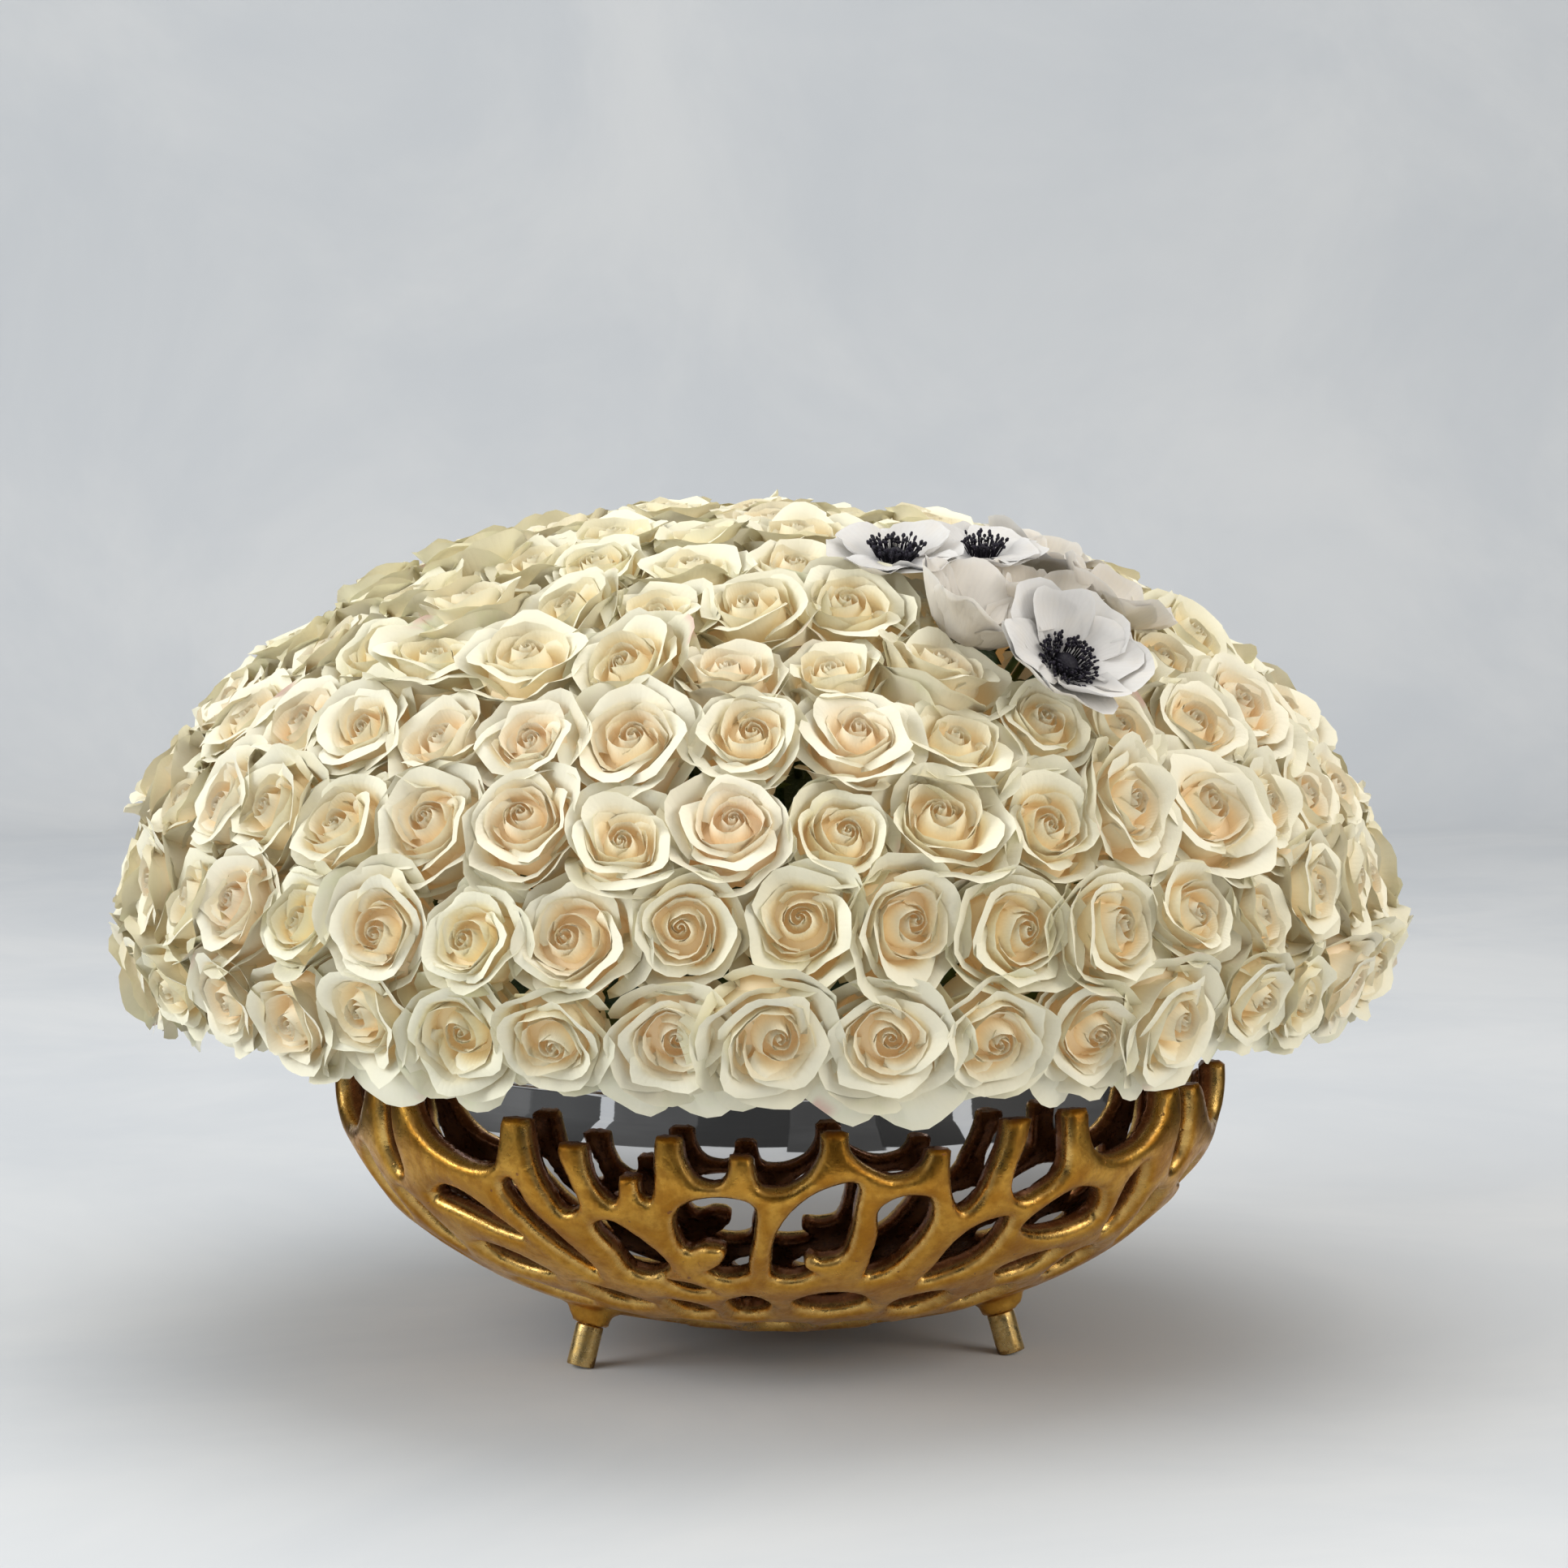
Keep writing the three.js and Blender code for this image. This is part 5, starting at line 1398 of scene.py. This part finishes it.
# %% Anemones in their places
STAMENS = 150                                   # how many in a full heart
STAMEN_RING, FOOT_RING = (7.5, 18.0), (6.0, 10.0)     # the rings that their tips and their feet fill (mm)
STAMEN_HEIGHTS, STAMEN_WIDTH, MOST_LEAN = (6.5, 7.5, 8.8), 1.1, 0.85
BUTTON_RADIUS = 7.0
stamen_kinds = collection_of("stamen_kinds", [
    sheet_object(f"stamen_{i}", p * MM, f) for i, (p, f) in enumerate(map(stamen, STAMEN_HEIGHTS))])
heart_tree = planting_tree("stamen_planting", anemone_heart)


def stamen_places(frame, at, share_of_full, rng):
    """Stamens fan out from the foot of the button: short and upright within, long and leaning outside."""
    places = []
    for i in range(int(STAMENS * share_of_full)):
        share = (i + 0.5) / (STAMENS * share_of_full)
        turn = math.radians(GOLDEN_TURN) * i + rng.uniform(-0.1, 0.1)
        tip = (part_way(STAMEN_RING, share) + rng.uniform(-1.2, 1.2)) * share_of_full ** 0.5
        foot = part_way(FOOT_RING, share) * share_of_full ** 0.5
        size = 1.08 + 0.36 * share + rng.uniform(-0.1, 0.1)
        lean = math.asin(min(max((tip - foot) / (7.6 * size), 0.0), MOST_LEAN))
        local = Matrix.Rotation(turn + math.pi / 2, 3, "Z") @ Matrix.Rotation(lean, 3, "X")
        places.append(place_at(at + frame @ (foot * math.cos(turn), foot * math.sin(turn), 0.0),
                               np.array(Matrix(frame.tolist()) @ local), rng.integers(3),
                               (STAMEN_WIDTH, STAMEN_WIDTH, size), rng.uniform()))
    return places


for number, ((row, slot), flower) in enumerate(zip(ANEMONES, FLOWERS), start=1):
    rng = np.random.default_rng(300 + number)
    azimuth = slot_azimuth(row, slot)
    dome_frame, crown = head_frame(row, azimuth)
    at, frame = crown + dome_frame @ flower["off"], facing(*flower["faces"])
    petals, no_drift = anemone_petals(flower, 500 + number), np.full(2, 1e-6 * number)
    cup = head_object(f"anemone_petals_{number}", petals, no_drift, 1.0)
    cup.data.transform(Matrix.Translation(Vector(at) * MM) @ Matrix(frame.tolist()).to_4x4())
    # Painted reflected light: the half-hidden flowers get a cream tint for the light the roses throw on them.
    painted_rose_bounce = 0.0 if number < 4 else 0.5 + 0.1 * (number - 4)     # the hidden ones catch the roses' cream
    mark(cup, "tint", np.full(len(cup.data.vertices), painted_rose_bounce))
    cup.data.materials.append(anemone_petal)
    points, faces = heart_button(BUTTON_RADIUS * flower["heart"])
    points = points @ frame.T + at + frame @ (0, 0, 1.5)
    button = sheet_object(f"anemone_button_{number}", points * MM, faces)
    mark(button, "tint", np.full(len(points), 0.2))
    ring = planted(f"anemone_stamens_{number}", heart_tree, stamen_kinds,
                   stamen_places(frame, at + frame @ (0, 0, 1.0), flower["heart"], rng))
    button.data.materials.append(anemone_heart)
    for piece, slot_name in ((cup, "anemone_petal"), (button, "anemone_heart"), (ring, "anemone_heart")):
        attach(piece, "root")
    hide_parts(f"anemone_{number}")
    stems.append((at - frame[:, 2] * 1.5, row, azimuth))
forget(stamen_kinds)
print("anemones:", len(ANEMONES))

# %% [markdown]
# ## Stems, sepals and leaves
# Under the heads it is dark and green. Each stem runs from its head straight into the foam, all of them
# aimed at the middle of the bowl. Five sepals fold back under each rose, and a few leaves fill the gaps.
# Only slivers of them show between the heads, so each shape has few faces.

# %% Green shapes
LEAF_THICK = 0.4       # mm


def leaf_shape(length, width, fold, droop, seed, rows_along=7, across=3):
    """A pointed leaf from the origin along +Y, folded along its rib, with a toothed edge (mm)."""
    rng = np.random.default_rng(seed)
    v, u = np.linspace(0, 1, rows_along)[:, None], np.linspace(-1, 1, across)
    outline = width / 2 * np.sin(np.pi * v ** 0.8) ** 0.8 * (1 + 0.08 * np.sin(v * 40)) + 0.15
    x, y = outline * u, length * v + 0 * u
    z = -droop * v ** 2 + fold * np.abs(u) * outline * 0.5 + 0.25 + rng.uniform(-0.3, 0.3, x.shape)
    return closed_sheet(np.stack([x, y, z], -1), np.stack([x, y, z - LEAF_THICK], -1))[:2]


def calyx_shape(seed):
    """Five narrow sepals folded back round the top of a stem, under the hip (mm)."""
    rng = np.random.default_rng(seed)
    parts = []
    for i in range(5):
        p, f = leaf_shape(rng.uniform(20, 26), 7.0, 0.3, rng.uniform(2, 9), seed * 10 + i, 3, 3)
        about, back = TURN * i / 5 + rng.uniform(-0.2, 0.2), rng.uniform(-0.35, 0.45)
        parts.append((p @ turned_frame(np.eye(3), (about, "Z"), (back, "X")).T, f))
    return joined(parts + [turned([(0, -9), (2.2, -9), (4.8, -2), (3.0, 2.5), (0, 2.5)], 6)])


greenery, bench, shader = finish("greenery", constants={"Specular IOR Level": 0.45})
cloud, fine, tint = bench.noise(60, 4.0, 0.6), bench.noise(700, 2.0, 0.6), bench.attribute("tint")
leafy = bench.mix(tint, (0.020, 0.055, 0.012), (0.075, 0.130, 0.028))
leafy = bench.mix(bench.between(cloud, 0.35, 0.7) * 0.6, leafy, (0.11, 0.16, 0.045))
shader["Base Color"] = leafy
shader["Roughness"] = bench.between(fine, 0.3, 0.7, 0.38, 0.6)
bumped(bench, shader, fine * 0.4 + cloud, 0.0006, 0.5)

# %% Stems, sepals and leaves in place
STEM_RADIUS, INTO_FOAM = 2.2, 14.0
LEAF_DEPTH, LEAF_SHARE = 35.0, 0.62         # mm under the crowns, and how many heads have a leaf by them


def stem_end(row, azimuth):
    """Where the stem of a head meets the foam dome (mm)."""
    start = outward(np.float64(azimuth)) * rows[row]["r"] + (0, 0, rows[row]["z"])
    aim = np.array([0, 0, FOAM["aim"]]) - start
    aim /= np.linalg.norm(aim)
    reach = np.arange(0, 400, 0.5)[:, None] * aim + start
    rise = (reach[:, 2] - FOAM["shoulder"]) / (FOAM["top"] - FOAM["shoulder"])
    outside = np.hypot(np.hypot(reach[:, 0], reach[:, 1]) / FOAM["dome"], rise) > 1.0
    return reach[np.argmin(outside)] + BOWL_AT, aim


def towards(direction):
    return np.array(Vector(direction).to_track_quat("Z", "Y").to_matrix())


rng = np.random.default_rng(77)
stem_places, calyx_places, leaf_places = [], [], []
for at, row, azimuth in stems:
    end, aim = stem_end(row, azimuth)
    end = end + aim * INTO_FOAM
    run = at - end
    tint = rng.uniform(0.2, 0.9)
    stem_size = STEM_RADIUS, STEM_RADIUS, float(np.linalg.norm(run))
    stem_places.append(place_at(end, towards(run), size=stem_size, tint=tint))
    calyx_places.append(place_at(at, towards(run), rng.integers(3), tint=tint))
    if rng.uniform() < LEAF_SHARE:
        frame, crown = head_frame(row, azimuth)
        side = frame @ (rng.choice([-1, 1]) * PITCH * 0.5, rng.uniform(-1, 1) * row_pitch * 0.5, -LEAF_DEPTH)
        leaning = turned_frame(frame, (rng.uniform(0, TURN), "Z"), (rng.uniform(-0.2, 0.2), "X"))
        leaf_places.append(place_at(crown + side, leaning, rng.integers(3), tint=rng.uniform()))
unit_stem = turned([(0, 0), (1, 0), (0.9, 1), (0, 1)], 6)
green_tree = planting_tree("green_planting", greenery)
for name, shapes, places in (
        ("flower_stems", [unit_stem], stem_places),
        ("rose_sepals", [calyx_shape(seed) for seed in (1, 2, 3)], calyx_places[:-len(ANEMONES)]),
        ("rose_leaves", [leaf_shape(27, 19, 0.5, d, s) for d, s in ((5, 8), (7, 9), (3, 10))], leaf_places)):
    kinds = collection_of(name + "_kinds", [
        sheet_object(f"{name}_{i}", p * MM, f) for i, (p, f) in enumerate(shapes)])
    piece = planted(name, green_tree, kinds, places)
    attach(piece, "root")
    print(name, len(piece.data.polygons), "faces")
    forget(kinds)
